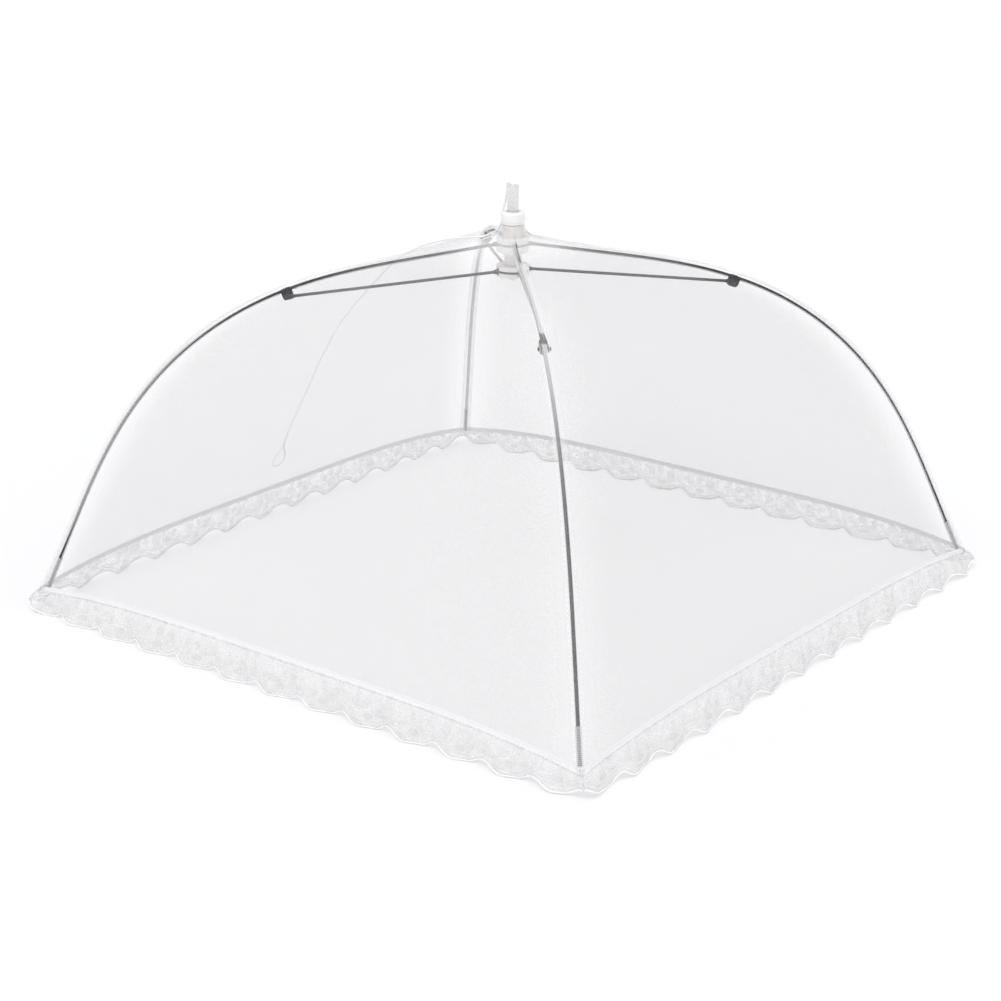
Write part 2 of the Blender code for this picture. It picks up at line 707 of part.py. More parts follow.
def build_crown(plastic, steel):
    """Crown hub: a slotted flange for the ribs, a neck above and a stop sleeve below."""
    groove_half = RING_WIRE_RADIUS + RUNNING_GAP
    floor = RIB_PIVOT_RADIUS - groove_half
    profile = spool_profile(CROWN_HEIGHT - CROWN_FLANGE_BOTTOM, CROWN_HEIGHT + CROWN_FLANGE_TOP,
                            CROWN_FLANGE_RADIUS, SLIDE_BORE_RADIUS, floor, CROWN_HEIGHT,
                            groove_half)
    stop = RUNNER_HEIGHT + RUNNER_HALF_HEIGHT + RUNNING_GAP
    neck = [(CROWN_NECK_RADIUS, CROWN_HEIGHT + CROWN_FLANGE_TOP),
            (CROWN_NECK_RADIUS, CROWN_HEIGHT + CROWN_NECK_TOP),
            (SLIDE_BORE_RADIUS, CROWN_HEIGHT + CROWN_NECK_TOP)]
    sleeve = [(SLIDE_BORE_RADIUS, stop), (CROWN_STOP_RADIUS, stop),
              (CROWN_STOP_RADIUS, CROWN_HEIGHT - CROWN_FLANGE_BOTTOM)]
    crown = link_mesh("crown_hub", turn_profile("crown_hub", sleeve + profile[1:-1] + neck), plastic)
    half_slot = RIB_RADIUS + RUNNING_GAP
    inner = RIB_PIVOT_RADIUS - EYE_RADIUS - RUNNING_GAP
    bottom = CROWN_HEIGHT - CROWN_FLANGE_BOTTOM - CUT_OVERRUN
    top = CROWN_HEIGHT + EYE_RADIUS + RUNNING_GAP
    slots = bmesh.new()
    for index in range(SIDES):
        slot = box_cutter(Vector((inner, -half_slot, bottom)),
                          Vector((CROWN_FLANGE_RADIUS + CUT_OVERRUN, half_slot, top)))
        slot.transform(Matrix.Rotation(rib_azimuth(index), 4, "Z"))
        mesh = bpy.data.meshes.new("slot")
        slot.to_mesh(mesh)
        slot.free()
        slots.from_mesh(mesh)
    add_cut(crown, slots)
    link_mesh("crown_ring", ring_mesh("crown_ring", RIB_PIVOT_RADIUS, CROWN_HEIGHT), steel)


def ring_mesh(name, radius, height):
    """Closed wire ring round the axis."""
    profile = [(radius + across, height + up)
               for across, up in wire_ring_section(RING_WIRE_RADIUS, RING_WIRE_RADIUS)]
    return turn_profile(name, profile, sides=RING_SIDES)


def build_cap(plastic):
    """Cap on the crown's neck, with rounded shoulders."""
    shoulder = [(CAP_RADIUS - CAP_FILLET * (1 - math.cos(turn)),
                 CAP_TOP - CAP_FILLET * (1 - math.sin(turn)))
                for turn in spread(0, QUARTER, 3)]
    profile = [(SLIDE_BORE_RADIUS, CAP_BASE), (CAP_RADIUS, CAP_BASE)] + shoulder
    profile.append((SLIDE_BORE_RADIUS, CAP_TOP))
    link_mesh("top_cap", turn_profile("top_cap", profile), plastic)


def build_runner(plastic, clear_plastic, steel):
    """Runner hub with its ring, and the push tube that passes up through crown and cap."""
    groove_half = RING_WIRE_RADIUS + RUNNING_GAP
    bottom = RUNNER_HEIGHT - RUNNER_HALF_HEIGHT
    profile = spool_profile(bottom, RUNNER_HEIGHT + RUNNER_HALF_HEIGHT, RUNNER_RADIUS,
                            SLIDE_BORE_RADIUS, RUNNER_RING_RADIUS - groove_half, RUNNER_HEIGHT,
                            groove_half)
    hole = CORD_RADIUS + RUNNING_GAP
    floor = [(SLIDE_BORE_RADIUS, bottom + RUNNER_FLOOR), (hole, bottom + RUNNER_FLOOR), (hole, bottom)]
    runner = link_mesh("runner_hub", turn_profile("runner_hub", floor + profile[1:]), plastic)
    away, across = stretcher_hinge()
    half_slot = STRETCHER_RADIUS + RUNNING_GAP
    inner = away - STRETCHER_EYE_RADIUS - RUNNING_GAP
    low = Vector((inner, across - half_slot, bottom - CUT_OVERRUN))
    high = Vector((RUNNER_RADIUS + CUT_OVERRUN, across + half_slot,
                   RUNNER_HEIGHT + RUNNER_HALF_HEIGHT + CUT_OVERRUN))
    slots = bmesh.new()
    for index in range(SIDES):
        slot = box_cutter(low, high)
        slot.transform(Matrix.Rotation(rib_azimuth(index), 4, "Z"))
        mesh = bpy.data.meshes.new("slot")
        slot.to_mesh(mesh)
        slot.free()
        slots.from_mesh(mesh)
    add_cut(runner, slots)
    link_mesh("runner_ring", ring_mesh("runner_ring", RUNNER_RING_RADIUS, RUNNER_HEIGHT), steel)
    wall = [(TUBE_BORE_RADIUS, TUBE_FOOT), (TUBE_RADIUS, TUBE_FOOT), (TUBE_RADIUS, TUBE_TOP),
            (TUBE_BORE_RADIUS, TUBE_TOP)]
    link_mesh("push_tube", turn_profile("push_tube", wall), clear_plastic)


# Pull cord

def smooth_route(places, spacing):
    """Points on a smooth curve through a route's own points, no further apart than the spacing."""
    route = [Vector(place) for place in places]
    route = [2 * route[0] - route[1]] + route + [2 * route[-1] - route[-2]]
    fine = []
    for before, start, end, after in zip(route, route[1:], route[2:], route[3:]):
        steps = math.ceil((end - start).length / spacing)
        for share in spread(0, 1, steps)[:-1]:
            bend = (2 * before - 5 * start + 4 * end - after) * share ** 2
            bend += (3 * (start - end) + after - before) * share ** 3
            fine.append(start + ((end - before) * share + bend) / 2)
    return fine + [route[-2]]


def link_cord(name, places, material):
    """Round cord along a list of points, closed at both ends."""
    curve = bpy.data.curves.new(name, "CURVE")
    curve.dimensions = "3D"
    curve.bevel_depth = CORD_RADIUS
    curve.bevel_resolution = CORD_RESOLUTION
    curve.use_fill_caps = True
    spline = curve.splines.new("POLY")
    spline.points.add(len(places) - 1)
    for point, place in zip(spline.points, places):
        point.co = (*place, 1)
    curve.materials.append(material)
    item = bpy.data.objects.new(name, curve)
    bpy.context.collection.objects.link(item)


def link_knot(name, start, direction, material):
    """Barrel-shaped knot that runs from a point in a direction."""
    shoulder = KNOT_RADIUS - CORD_RADIUS
    profile = [(0, 0), (CORD_RADIUS, 0), (KNOT_RADIUS, shoulder),
               (KNOT_RADIUS, KNOT_LENGTH - shoulder), (CORD_RADIUS, KNOT_LENGTH), (0, KNOT_LENGTH)]
    knot = link_mesh(name, turn_profile(name, profile, sides=BORE_SIDES), material)
    knot.location = start
    knot.rotation_euler = direction.to_track_quat("Z", "Y").to_euler()


def build_pull_cord(material):
    """Pull cord in its two stretches, its two knots and its loop."""
    down = Vector((0, 0, -1))
    floor = Vector((0, 0, RUNNER_HEIGHT - RUNNER_HALF_HEIGHT))
    link_knot("runner_knot", floor + down * RUNNING_GAP, down, material)
    places = smooth_route(CORD_ROUTE, CORD_SPACING)
    link_cord("inner_cord", [floor, places[0] + down * RUNNING_GAP], material)
    link_cord("pull_cord", places, material)
    along = (places[-1] - places[-2]).normalized()
    normal = Vector((1, 0, 0)).cross(along).normalized()
    across = along.cross(normal)
    knot_start = places[-1] + along * RUNNING_GAP
    link_knot("loop_knot", knot_start, along, material)
    loop_start = knot_start + along * (KNOT_LENGTH + RUNNING_GAP)
    end_spread = CORD_RADIUS + RUNNING_GAP / 2
    loop = []
    for share in spread(0, 1, LOOP_POINTS - 1):
        turn = 2 * math.pi * share
        reach = LOOP_LENGTH * (1 - math.cos(turn)) / 2
        side = end_spread * math.cos(turn / 2) + LOOP_HALF_WIDTH * math.sin(turn) * math.sin(turn / 2)
        loop.append(loop_start + along * reach + across * side)
    link_cord("pull_loop", loop, material)


def main():
    """Clear the scene and build every piece."""
    for item in list(bpy.data.objects):
        bpy.data.objects.remove(item, do_unlink=True)
    cord = make_material("cord_cotton", (0.86, 0.86, 0.87), 0.8)
    net = make_material("net_cloth", (0.86, 0.86, 0.87), 0.8, alpha=0.5)
    tape = make_material("tape_cloth", (0.9, 0.9, 0.91), 0.75)
    lace = make_material("lace_cloth", (0.92, 0.92, 0.92), 0.7)
    steel = make_material("rib_steel", (0.22, 0.22, 0.23), 0.35, metallic=0.9)
    dark_steel = make_material("clip_steel", (0.1, 0.1, 0.11), 0.4, metallic=0.8)
    plastic = make_material("white_plastic", (0.88, 0.87, 0.85), 0.35)
    clear_plastic = make_material("tube_plastic", (0.75, 0.76, 0.78), 0.2, alpha=0.7)
    build_net_panels(net)
    build_hem_tapes(tape)
    build_seam_tapes(tape)
    build_lace(lace)
    build_ribs(steel, dark_steel, tape)
    build_stretchers(steel, dark_steel)
    build_crown(plastic, steel)
    build_cap(plastic)
    build_runner(plastic, clear_plastic, steel)
    build_pull_cord(cord)


main()
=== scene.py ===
import json
from math import cos, pi, radians, sin, sqrt

import bmesh
import bpy
import numpy as np
from mathutils import Matrix, Vector

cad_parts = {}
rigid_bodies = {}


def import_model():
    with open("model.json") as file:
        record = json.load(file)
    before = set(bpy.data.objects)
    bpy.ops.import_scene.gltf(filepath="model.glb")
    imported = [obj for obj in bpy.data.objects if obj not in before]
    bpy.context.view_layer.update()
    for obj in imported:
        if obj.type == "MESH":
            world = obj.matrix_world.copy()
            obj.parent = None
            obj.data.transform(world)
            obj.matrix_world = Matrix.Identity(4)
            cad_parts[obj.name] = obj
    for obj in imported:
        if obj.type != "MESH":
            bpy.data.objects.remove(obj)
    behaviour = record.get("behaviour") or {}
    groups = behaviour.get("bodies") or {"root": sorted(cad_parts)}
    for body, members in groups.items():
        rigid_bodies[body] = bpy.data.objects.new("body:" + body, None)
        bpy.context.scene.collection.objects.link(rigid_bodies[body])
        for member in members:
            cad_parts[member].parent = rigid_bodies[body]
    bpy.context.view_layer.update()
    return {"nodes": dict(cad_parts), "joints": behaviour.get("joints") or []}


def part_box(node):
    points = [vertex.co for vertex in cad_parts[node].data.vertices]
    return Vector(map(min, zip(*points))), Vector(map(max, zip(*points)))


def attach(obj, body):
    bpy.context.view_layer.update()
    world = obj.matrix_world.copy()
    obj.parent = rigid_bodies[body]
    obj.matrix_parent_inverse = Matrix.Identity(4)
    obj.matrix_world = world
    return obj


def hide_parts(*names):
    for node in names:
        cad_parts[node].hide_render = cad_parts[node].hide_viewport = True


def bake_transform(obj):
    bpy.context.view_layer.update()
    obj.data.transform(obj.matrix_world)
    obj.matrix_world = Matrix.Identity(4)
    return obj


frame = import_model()

# Lengths are in metres and angles in radians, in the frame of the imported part: the origin is
# on the table under the middle of the cover, +Z is up and the hem's sides run along X and Y.
# The maps and the distances that the materials take from them are in millimetres.

TO_MM = 1000
SIDES = 4
QUARTER = 2 * pi / SIDES
GAP = 0.0003

# Distance of a side from the axis, as a share of its corner's
SIDE_SHARE = cos(QUARTER / 2)

# Each side is two halves that meet on its middle line, one for each of its ribs
HALVES = [(index, side) for index in range(SIDES) for side in (1, -1)]

# Driving sizes of the frame, as in the part's source
RIB_LENGTH = 0.3685
RIB_RADIUS = 0.00095
RIB_START_ANGLE = radians(8.5)
RIB_END_ANGLE = radians(66)
RIB_BEND_CENTRE_SHARE = 0.51
RIB_BEND_WIDTH_SHARE = 0.75
RIB_STEPS = 240
EYE_RADIUS = 0.0016
TONGUE_HALF_THICKNESS = 0.0008
TONGUE_LENGTH = 0.0045

CROWN_FLANGE_TOP = 0.0035
CROWN_NECK_RADIUS = 0.0064
CROWN_NECK_TOP = 0.0115

CLIP_STATION = RIB_LENGTH * 0.347
CLIP_LENGTH = 0.0065
CLIP_WALL = 0.0006
CLIP_LIP = 0.0009
CLIP_WEB_DEPTH = 0.0054
CLIP_CORNER = 0.0016

CLOTH_THICKNESS = 0.0004
NET_OFFSET = 0.0024
NET_CORNER_OFFSET = 0.0035
NET_FLARE_START_SHARE = 0.86
NET_JOIN_STATION = 0.028
NET_ROUND_RADIUS = 0.012
NET_GATHER_LEAD_SHARE = 0.67
NET_SAG = 0.004
NET_SAG_START_SHARE = 0.25
NET_OVERHANG = 0.0055
NET_HEM_BULGE = 0.0016
NET_HEM_LIFT = 0.0094
NET_HEM_START_SHARE = 0.75
NET_HEM_ARCH_POWER = 4
NET_LENGTH = RIB_LENGTH + NET_OVERHANG
SEAM_HALF_WIDTH = 0.005
HEM_BAND_HEIGHT = 0.004
POCKET_LENGTH = 0.02
TAPE_OUT = CLOTH_THICKNESS + GAP

LACE_THICKNESS = 0.0006
LACE_REACH = 0.006
LACE_SCALLOPS = 13
LACE_SCALLOP_DEPTH = 0.0045
LACE_BLUNT_POWER = 4
LACE_RUFFLE = 0.0019
LACE_GATHER = 0.0005
LACE_CORNER_SHARE = 0.85
LACE_CORNER_REACH = 0.03
LACE_LAP = 0.0015
EDGE_CORD_RADIUS = 0.0004

# Pull cord, along the same route as in the part's source
CORD_RADIUS = 0.0006
LOOP_LENGTH = 0.0155
LOOP_HALF_WIDTH = 0.0062
KNOT_RADIUS = 0.0014
KNOT_LENGTH = 0.0034
CORD_ROUTE = [
    (0.0000, 0.0000, 0.2489), (0.0000, 0.0000, 0.2503), (0.0000, 0.0004, 0.2514),
    (0.0000, 0.0013, 0.2521), (0.0001, 0.0024, 0.2523), (0.0002, 0.0035, 0.2521),
    (0.0003, 0.0043, 0.2513), (0.0004, 0.0047, 0.2500), (0.0005, 0.0049, 0.2470),
    (0.0007, 0.0057, 0.2425), (0.0010, 0.0072, 0.2378), (0.0013, 0.0086, 0.2340),
    (0.0017, 0.0094, 0.2300), (0.0021, 0.0103, 0.2266), (0.0024, 0.0138, 0.2218),
    (0.0032, 0.0187, 0.2191), (0.0046, 0.0261, 0.2158), (0.0062, 0.0346, 0.2139),
    (0.0086, 0.0456, 0.2115), (0.0114, 0.0586, 0.2082), (0.0142, 0.0729, 0.2037),
    (0.0170, 0.0873, 0.1980), (0.0195, 0.1016, 0.1907), (0.0213, 0.1146, 0.1812),
    (0.0219, 0.1271, 0.1699), (0.0198, 0.1355, 0.1603), (0.0158, 0.1416, 0.1520),
    (0.0130, 0.1483, 0.1424), (0.0114, 0.1541, 0.1333), (0.0097, 0.1602, 0.1219),
    (0.0076, 0.1662, 0.1097), (0.0058, 0.1711, 0.0983), (0.0040, 0.1756, 0.0880),
    (0.0023, 0.1793, 0.0794), (0.0009, 0.1831, 0.0710), (0.0005, 0.1870, 0.0631),
    (0.0010, 0.1914, 0.0541),
]

JOINTS = {joint["name"]: joint for joint in frame["joints"]}
RIB_PIVOT = Vector(JOINTS["rib_fold_1"]["pos_m"])
RIB_PIVOT_RADIUS = RIB_PIVOT.to_2d().length
CROWN_HEIGHT = RIB_PIVOT.z


def mix(first, second, share):
    """Go from the first value to the second by a share."""
    return first + (second - first) * share


def spread(first, last, count):
    """Evenly spaced values from first to last."""
    return [mix(first, last, index / count) for index in range(count + 1)]


def circle(count):
    """Evenly spaced angles of one full turn."""
    return [2 * pi * index / count for index in range(count)]


def smooth_step(value):
    """Rise smoothly from 0 to 1 as the value does."""
    held = min(max(value, 0), 1)
    return held * held * (3 - 2 * held)


# Rib curve and canopy surface, as in the part's source

def rib_angle(station):
    """Slope of the rib below level, at a distance along the wire."""
    start = RIB_BEND_CENTRE_SHARE - RIB_BEND_WIDTH_SHARE / 2
    bent = smooth_step((station / RIB_LENGTH - start) / RIB_BEND_WIDTH_SHARE)
    return mix(RIB_START_ANGLE, RIB_END_ANGLE, bent)


def rib_point(station):
    """Place on the rib's centre line from its pivot: away from the axis, and up."""
    if station <= 0:
        return Vector((station * cos(RIB_START_ANGLE), -station * sin(RIB_START_ANGLE)))
    place = Vector((0, 0))
    step = station / RIB_STEPS
    for index in range(RIB_STEPS):
        angle = rib_angle(step * (index + 0.5))
        place += Vector((cos(angle), -sin(angle))) * step
    return place


def rib_normal(station):
    """Outward direction, square to the rib, in its own plane."""
    angle = rib_angle(max(station, 0))
    return Vector((sin(angle), cos(angle)))


def net_corner(station):
    """Corner of the net over a rib: radius from the axis and height over the table."""
    share = (station / RIB_LENGTH - NET_FLARE_START_SHARE) / (1 - NET_FLARE_START_SHARE)
    offset = mix(NET_OFFSET, NET_CORNER_OFFSET, smooth_step(share))
    place = rib_point(station) + rib_normal(station) * offset
    return Vector((RIB_PIVOT_RADIUS + place.x, CROWN_HEIGHT + place.y))


def rib_row(station):
    """Row of the net at a distance along the ribs: corner, slope, roundness, sag and arch."""
    reach = RIB_LENGTH / RIB_STEPS
    slope = net_corner(station + reach) - net_corner(station - reach)
    share = station / NET_LENGTH
    sag = NET_SAG * sin(pi * share) * smooth_step(share / NET_SAG_START_SHARE)
    arch = smooth_step((share - NET_HEM_START_SHARE) / (1 - NET_HEM_START_SHARE))
    return net_corner(station), slope, 0.0, sag, arch


def gather_row(share):
    """Row of the net where it is drawn in from the ribs to the crown's neck."""
    neck = Vector((CROWN_NECK_RADIUS + GAP + CLOTH_THICKNESS / 2, CROWN_HEIGHT + CROWN_NECK_TOP))
    join, slope, _, sag, arch = rib_row(NET_JOIN_STATION)
    slope = slope.normalized()
    first = Vector((neck.x, CROWN_HEIGHT + CROWN_FLANGE_TOP + CLOTH_THICKNESS))
    second = join - slope * (join.x - NET_ROUND_RADIUS) * NET_GATHER_LEAD_SHARE
    rest = 1 - share
    place = (neck * rest ** 3 + first * 3 * rest ** 2 * share
             + second * 3 * rest * share ** 2 + join * share ** 3)
    tangent = ((first - neck) * rest ** 2 + (second - first) * 2 * rest * share
               + (join - second) * share ** 2)
    roundness = 1 - smooth_step((place.x - NET_ROUND_RADIUS) / (join.x - NET_ROUND_RADIUS))
    return place, tangent, roundness, sag * share, arch


def hem_arch(across):
    """Share of the hem's lift and bulge at a share across one side."""
    return 1 - across ** NET_HEM_ARCH_POWER


def cloth_point(row, across, out, gap=GAP):
    """Point of a sheet that lies out from the net, at a share across one side."""
    corner, slope, roundness, sag, arch = row
    width = mix(SIDE_SHARE, 1, roundness)
    normal = Vector((-slope.y, slope.x * width)).normalized()
    radius = corner.x + out * normal.x / width
    arch *= hem_arch(across)
    height = corner.y + out * normal.y + NET_HEM_LIFT * arch
    half = radius * SIDE_SHARE
    turn = across * (QUARTER / 2 - gap / radius)
    level = mix(across * (half - gap), radius * sin(turn), roundness)
    away = mix(half, radius * cos(turn), roundness)
    away += NET_HEM_BULGE * arch - sag * (1 - across * across)
    return Vector((away, level, height))


# The net's last row, half a side's width there and the line that the lace hangs from

HEM_ROW = rib_row(NET_LENGTH)
HEM_HALF = net_corner(NET_LENGTH).x * SIDE_SHARE
LACE_EDGE = cloth_point(HEM_ROW, 1, TAPE_OUT + CLOTH_THICKNESS / 2, gap=0).x
LACE_PITCH = 2 * LACE_EDGE / LACE_SCALLOPS


# Node helpers

HALF_STITCH = 1.3
STITCH_SOFT = 0.1


class Value:
    """Output of a node. Signs between values make new nodes: first | second is the larger one."""

    def __init__(self, nodes, socket):
        self.nodes = nodes
        self.socket = socket

    def __add__(self, other):
        return self.nodes.math("ADD", self, other)

    def __sub__(self, other):
        return self.nodes.math("SUBTRACT", self, other)

    def __rsub__(self, other):
        return self.nodes.math("SUBTRACT", other, self)

    def __mul__(self, other):
        return self.nodes.math("MULTIPLY", self, other)

    def __or__(self, other):
        return self.nodes.math("MAXIMUM", self, other)

    def __abs__(self):
        return self.nodes.math("ABSOLUTE", self)


class Nodes:
    """Node tree of one material or world, with short calls for the nodes that are used."""

    def __init__(self, name, kind="materials"):
        self.owner = getattr(bpy.data, kind).new(name)
        self.owner.use_nodes = True
        self.tree = self.owner.node_tree
        self.shader = self.tree.nodes.get("Principled BSDF")

    def give(self, socket, value):
        """Set an input to another node's value, a colour or a number."""
        if isinstance(value, Value):
            self.tree.links.new(value.socket, socket)
        else:
            socket.default_value = (*value, 1) if isinstance(value, tuple) else value

    def node(self, kind, given=(), output=0, **settings):
        """One output of a new node with these inputs and settings."""
        made = self.tree.nodes.new(kind)
        for key, value in settings.items():
            setattr(made, key, value)
        for key, value in dict(given).items():
            self.give(made.inputs[key], value)
        return Value(self, made.outputs[output])

    def math(self, operation, first, second=0.0, third=0.0):
        """Result of a sum or function."""
        return self.node("ShaderNodeMath", enumerate((first, second, third)), operation=operation)

    def parts(self, vector):
        """The parts of a vector."""
        first = self.node("ShaderNodeSeparateXYZ", {0: vector})
        return [Value(self, socket) for socket in first.socket.node.outputs]

    def uv(self, name="cloth"):
        """The two lengths or turns that a piece's map holds."""
        return self.parts(self.node("ShaderNodeUVMap", uv_map=name))[:2]

    def place(self):
        """The object's own coordinates."""
        return self.node("ShaderNodeTexCoord", output="Object")

    def from_rib(self):
        """Distance from the nearest rib's plane."""
        first, second, _ = self.parts(self.place())
        return abs(abs(first) - abs(second)) * (TO_MM * SIDE_SHARE)

    def noise(self, scale, detail=3.0, roughness=0.5, vector=None):
        """Cloudy pattern between 0 and 1."""
        given = {"Scale": scale, "Detail": detail, "Roughness": roughness}
        given["Vector"] = vector or self.place()
        return self.node("ShaderNodeTexNoise", given, "Fac")

    def range(self, value, low, high, to_low=0.0, to_high=1.0):
        """Go smoothly between two results while the value goes from low to high."""
        given = enumerate((value, low, high, to_low, to_high))
        return self.node("ShaderNodeMapRange", given, interpolation_type="SMOOTHSTEP")

    def blend(self, share, first, second):
        """Colour between two others, by the inputs and output that the node has for colours."""
        return self.node("ShaderNodeMix", {0: share, 6: first, 7: second}, 2, data_type="RGBA")

    def line(self, value, pitch, half_width, soft):
        """1 on evenly spaced lines across a value, 0 between them."""
        away = self.math("PINGPONG", value, pitch / 2)
        return self.range(away, half_width - soft, half_width + soft, 1.0, 0.0)

    def netting(self, across, along, pitch, half_thread, soft):
        """1 on the slanted threads of a net, 0 in its holes."""
        return (self.line(across + along, pitch, half_thread, soft)
                | self.line(across - along, pitch, half_thread, soft))

    def stitches(self, run, beside, half_width, strength=1.0):
        """Run of stitches, where the distance beside it is small."""
        thread = self.range(abs(beside), half_width, half_width + STITCH_SOFT, strength, 0.0)
        return thread * self.range(self.math("PINGPONG", run, HALF_STITCH), 0.2, 0.35)

    def bump(self, height, distance, strength):
        """Relief in the material's shading."""
        given = {"Height": height, "Distance": distance, "Strength": strength}
        self.set(normal=self.node("ShaderNodeBump", given))

    def set(self, **values):
        """Set inputs of the material's shader, by their names in small letters."""
        for key, value in values.items():
            name = key.replace("_", " ").title().replace("Ior", "IOR")
            self.give(self.shader.inputs[name], value)


# Colours

WHITE = (1, 1, 1)
NET_WHITE = (0.66, 0.645, 0.66)
NET_BRIGHT = (0.72, 0.705, 0.715)
TAPE_WHITE = (0.86, 0.86, 0.87)
TAPE_SHADE = (0.78, 0.78, 0.80)
SEAM_WHITE = (0.94, 0.94, 0.94)
SEAM_SHADE = (0.88, 0.88, 0.885)
LACE_WHITE = (0.95, 0.945, 0.94)
LACE_SHADE = (0.88, 0.875, 0.88)
LACE_SPOT = (0.76, 0.755, 0.76)
THREAD_WHITE = (0.92, 0.92, 0.92)
CORD_WHITE = (0.95, 0.95, 0.955)
CORD_SHADE = (0.86, 0.86, 0.875)
PLASTIC_WHITE = (0.90, 0.875, 0.865)
# Crown hub: partly its own beige tint, partly painted shade, darker where the neck sits under the
# cap and the gathered net
HUB_BEIGE_AND_SHADE = (0.76, 0.73, 0.715)
TUBE_CLEAR = (0.96, 0.96, 0.965)
STEEL_GREY = (0.058, 0.058, 0.062)
DARK_STEEL = (0.03, 0.03, 0.032)
FLOOR_WHITE = (0.86, 0.86, 0.865)
SKY_WHITE = (0.98, 0.985, 1)


def toned(colour, share):
    """A lighter or darker tone of a colour."""
    return tuple(min(part * share, 1) for part in colour)


# Materials

NET_PITCH = 0.8


def net_cloth():
    """Fine knitted net with open holes, thinner beside the ribs and gathered at the neck."""
    nodes = Nodes("net_cloth")
    across, along = nodes.uv()
    threads = nodes.netting(across, along, NET_PITCH, half_thread=0.0545, soft=0.0218)
    cloudy = nodes.noise(9.0, detail=2.0)
    off_rib = nodes.range(nodes.from_rib(), 2.0, 24.0, 0.15, 1.0)
    near_crown = nodes.range(along, 60.0, 130.0, 1.0, 0.0)
    alpha = threads * nodes.range(cloudy, 0.2, 0.8, 0.88, 1.0) * (off_rib | near_crown)
    drawn_out = nodes.node("ShaderNodeCombineXYZ", {0: across * 1.1, 1: along * 0.06})
    streaks = nodes.noise(1.0, vector=drawn_out)
    below_neck = nodes.range(along, 5.5, 10.0)
    gathered = nodes.range(along, 12.0, 48.0, 0.5, 0.0)
    alpha = alpha | below_neck * gathered * nodes.range(streaks, 0.3, 0.7, 0.7, 1.0)
    colour = nodes.blend(cloudy, NET_WHITE, NET_BRIGHT)
    colour = nodes.blend(nodes.range(along, 20.0, 60.0, 1.0, 0.0), colour, THREAD_WHITE)
    nodes.set(base_color=colour, roughness=0.75, alpha=alpha, specular_ior_level=0.25)
    nodes.bump(threads, 0.0001, 0.5)
    return nodes.owner


def seam_net():
    """Sheer seam tape, close over the rib near the crown and open towards the hem."""
    nodes = Nodes("seam_net")
    along, from_edge = nodes.uv()
    threads = nodes.netting(along, from_edge, NET_PITCH, half_thread=0.12, soft=0.05)
    channel = nodes.range(from_edge, 2.6, 3.4)
    over_rib = nodes.range(along, 110.0, 250.0, 0.48, 0.03)
    beside_rib = nodes.range(along, 60.0, 150.0, 0.25, 0.09)
    cover = channel * over_rib + (1.0 - channel) * beside_rib
    open_net = threads * nodes.range(along, 110.0, 250.0, 0.26, 0.11)
    selvedge = nodes.range(from_edge, 0.25, 0.5, 0.28, 0.0)
    stitch = nodes.stitches(along, from_edge - 1.2, 0.15, strength=0.45)
    past_crown = nodes.range(along, 29.0, 40.0)
    past_clip = nodes.range(abs(along - CLIP_STATION * TO_MM), 3.5, 6.5, 0.25, 1.0)
    alpha = (cover | open_net | stitch | selvedge) * past_crown * past_clip
    colour = nodes.blend(nodes.noise(60.0), SEAM_SHADE, SEAM_WHITE)
    nodes.set(base_color=nodes.blend(stitch, colour, THREAD_WHITE), roughness=0.8, alpha=alpha)
    nodes.bump(threads + stitch, 0.0001, 0.5)
    return nodes.owner


def sheer_net(name, ground, thread):
    """Fine ribbed cloth of the strips under the ribs and of the pockets at their tips."""
    nodes = Nodes(name)
    along, around = nodes.uv()
    ribbing = nodes.line(along, 0.6, 0.1, 0.05) | nodes.line(around, 1.0, 0.15, 0.08)
    colour = nodes.blend(nodes.noise(60.0), TAPE_SHADE, TAPE_WHITE)
    nodes.set(base_color=colour, roughness=0.8,
              alpha=nodes.math("MULTIPLY_ADD", ribbing, thread, ground))
    nodes.bump(ribbing, 0.00005, 0.5)
    return nodes.owner


def woven_tape():
    """Close plain weave with a run of stitches along the middle of the narrow hem."""
    nodes = Nodes("woven_tape")
    across, along = nodes.uv()
    half_pitch = 0.25
    warp = nodes.math("PINGPONG", across, half_pitch)
    weft = nodes.math("PINGPONG", along + nodes.math("SNAP", across, half_pitch), half_pitch)
    weave = warp + weft
    stitch = nodes.stitches(across, along - 2.0, 0.2)
    colour = nodes.blend(nodes.range(weave, 0.05, 0.4), TAPE_SHADE, TAPE_WHITE)
    colour = nodes.blend(nodes.noise(60.0) * 0.3, colour, TAPE_SHADE)
    nodes.set(base_color=nodes.blend(stitch, colour, THREAD_WHITE), roughness=0.8)
    nodes.bump(weave + stitch * 1.5, 0.0001, 0.6)
    return nodes.owner


# Flowers of one scallop: across from its middle, up from its edge, size and turn
LACE_FLOWERS = ((-7.4, 11.6, 3.6, 0.3), (7.9, 11.9, 3.3, 1.1), (0.4, 14.6, 2.6, 0.7))


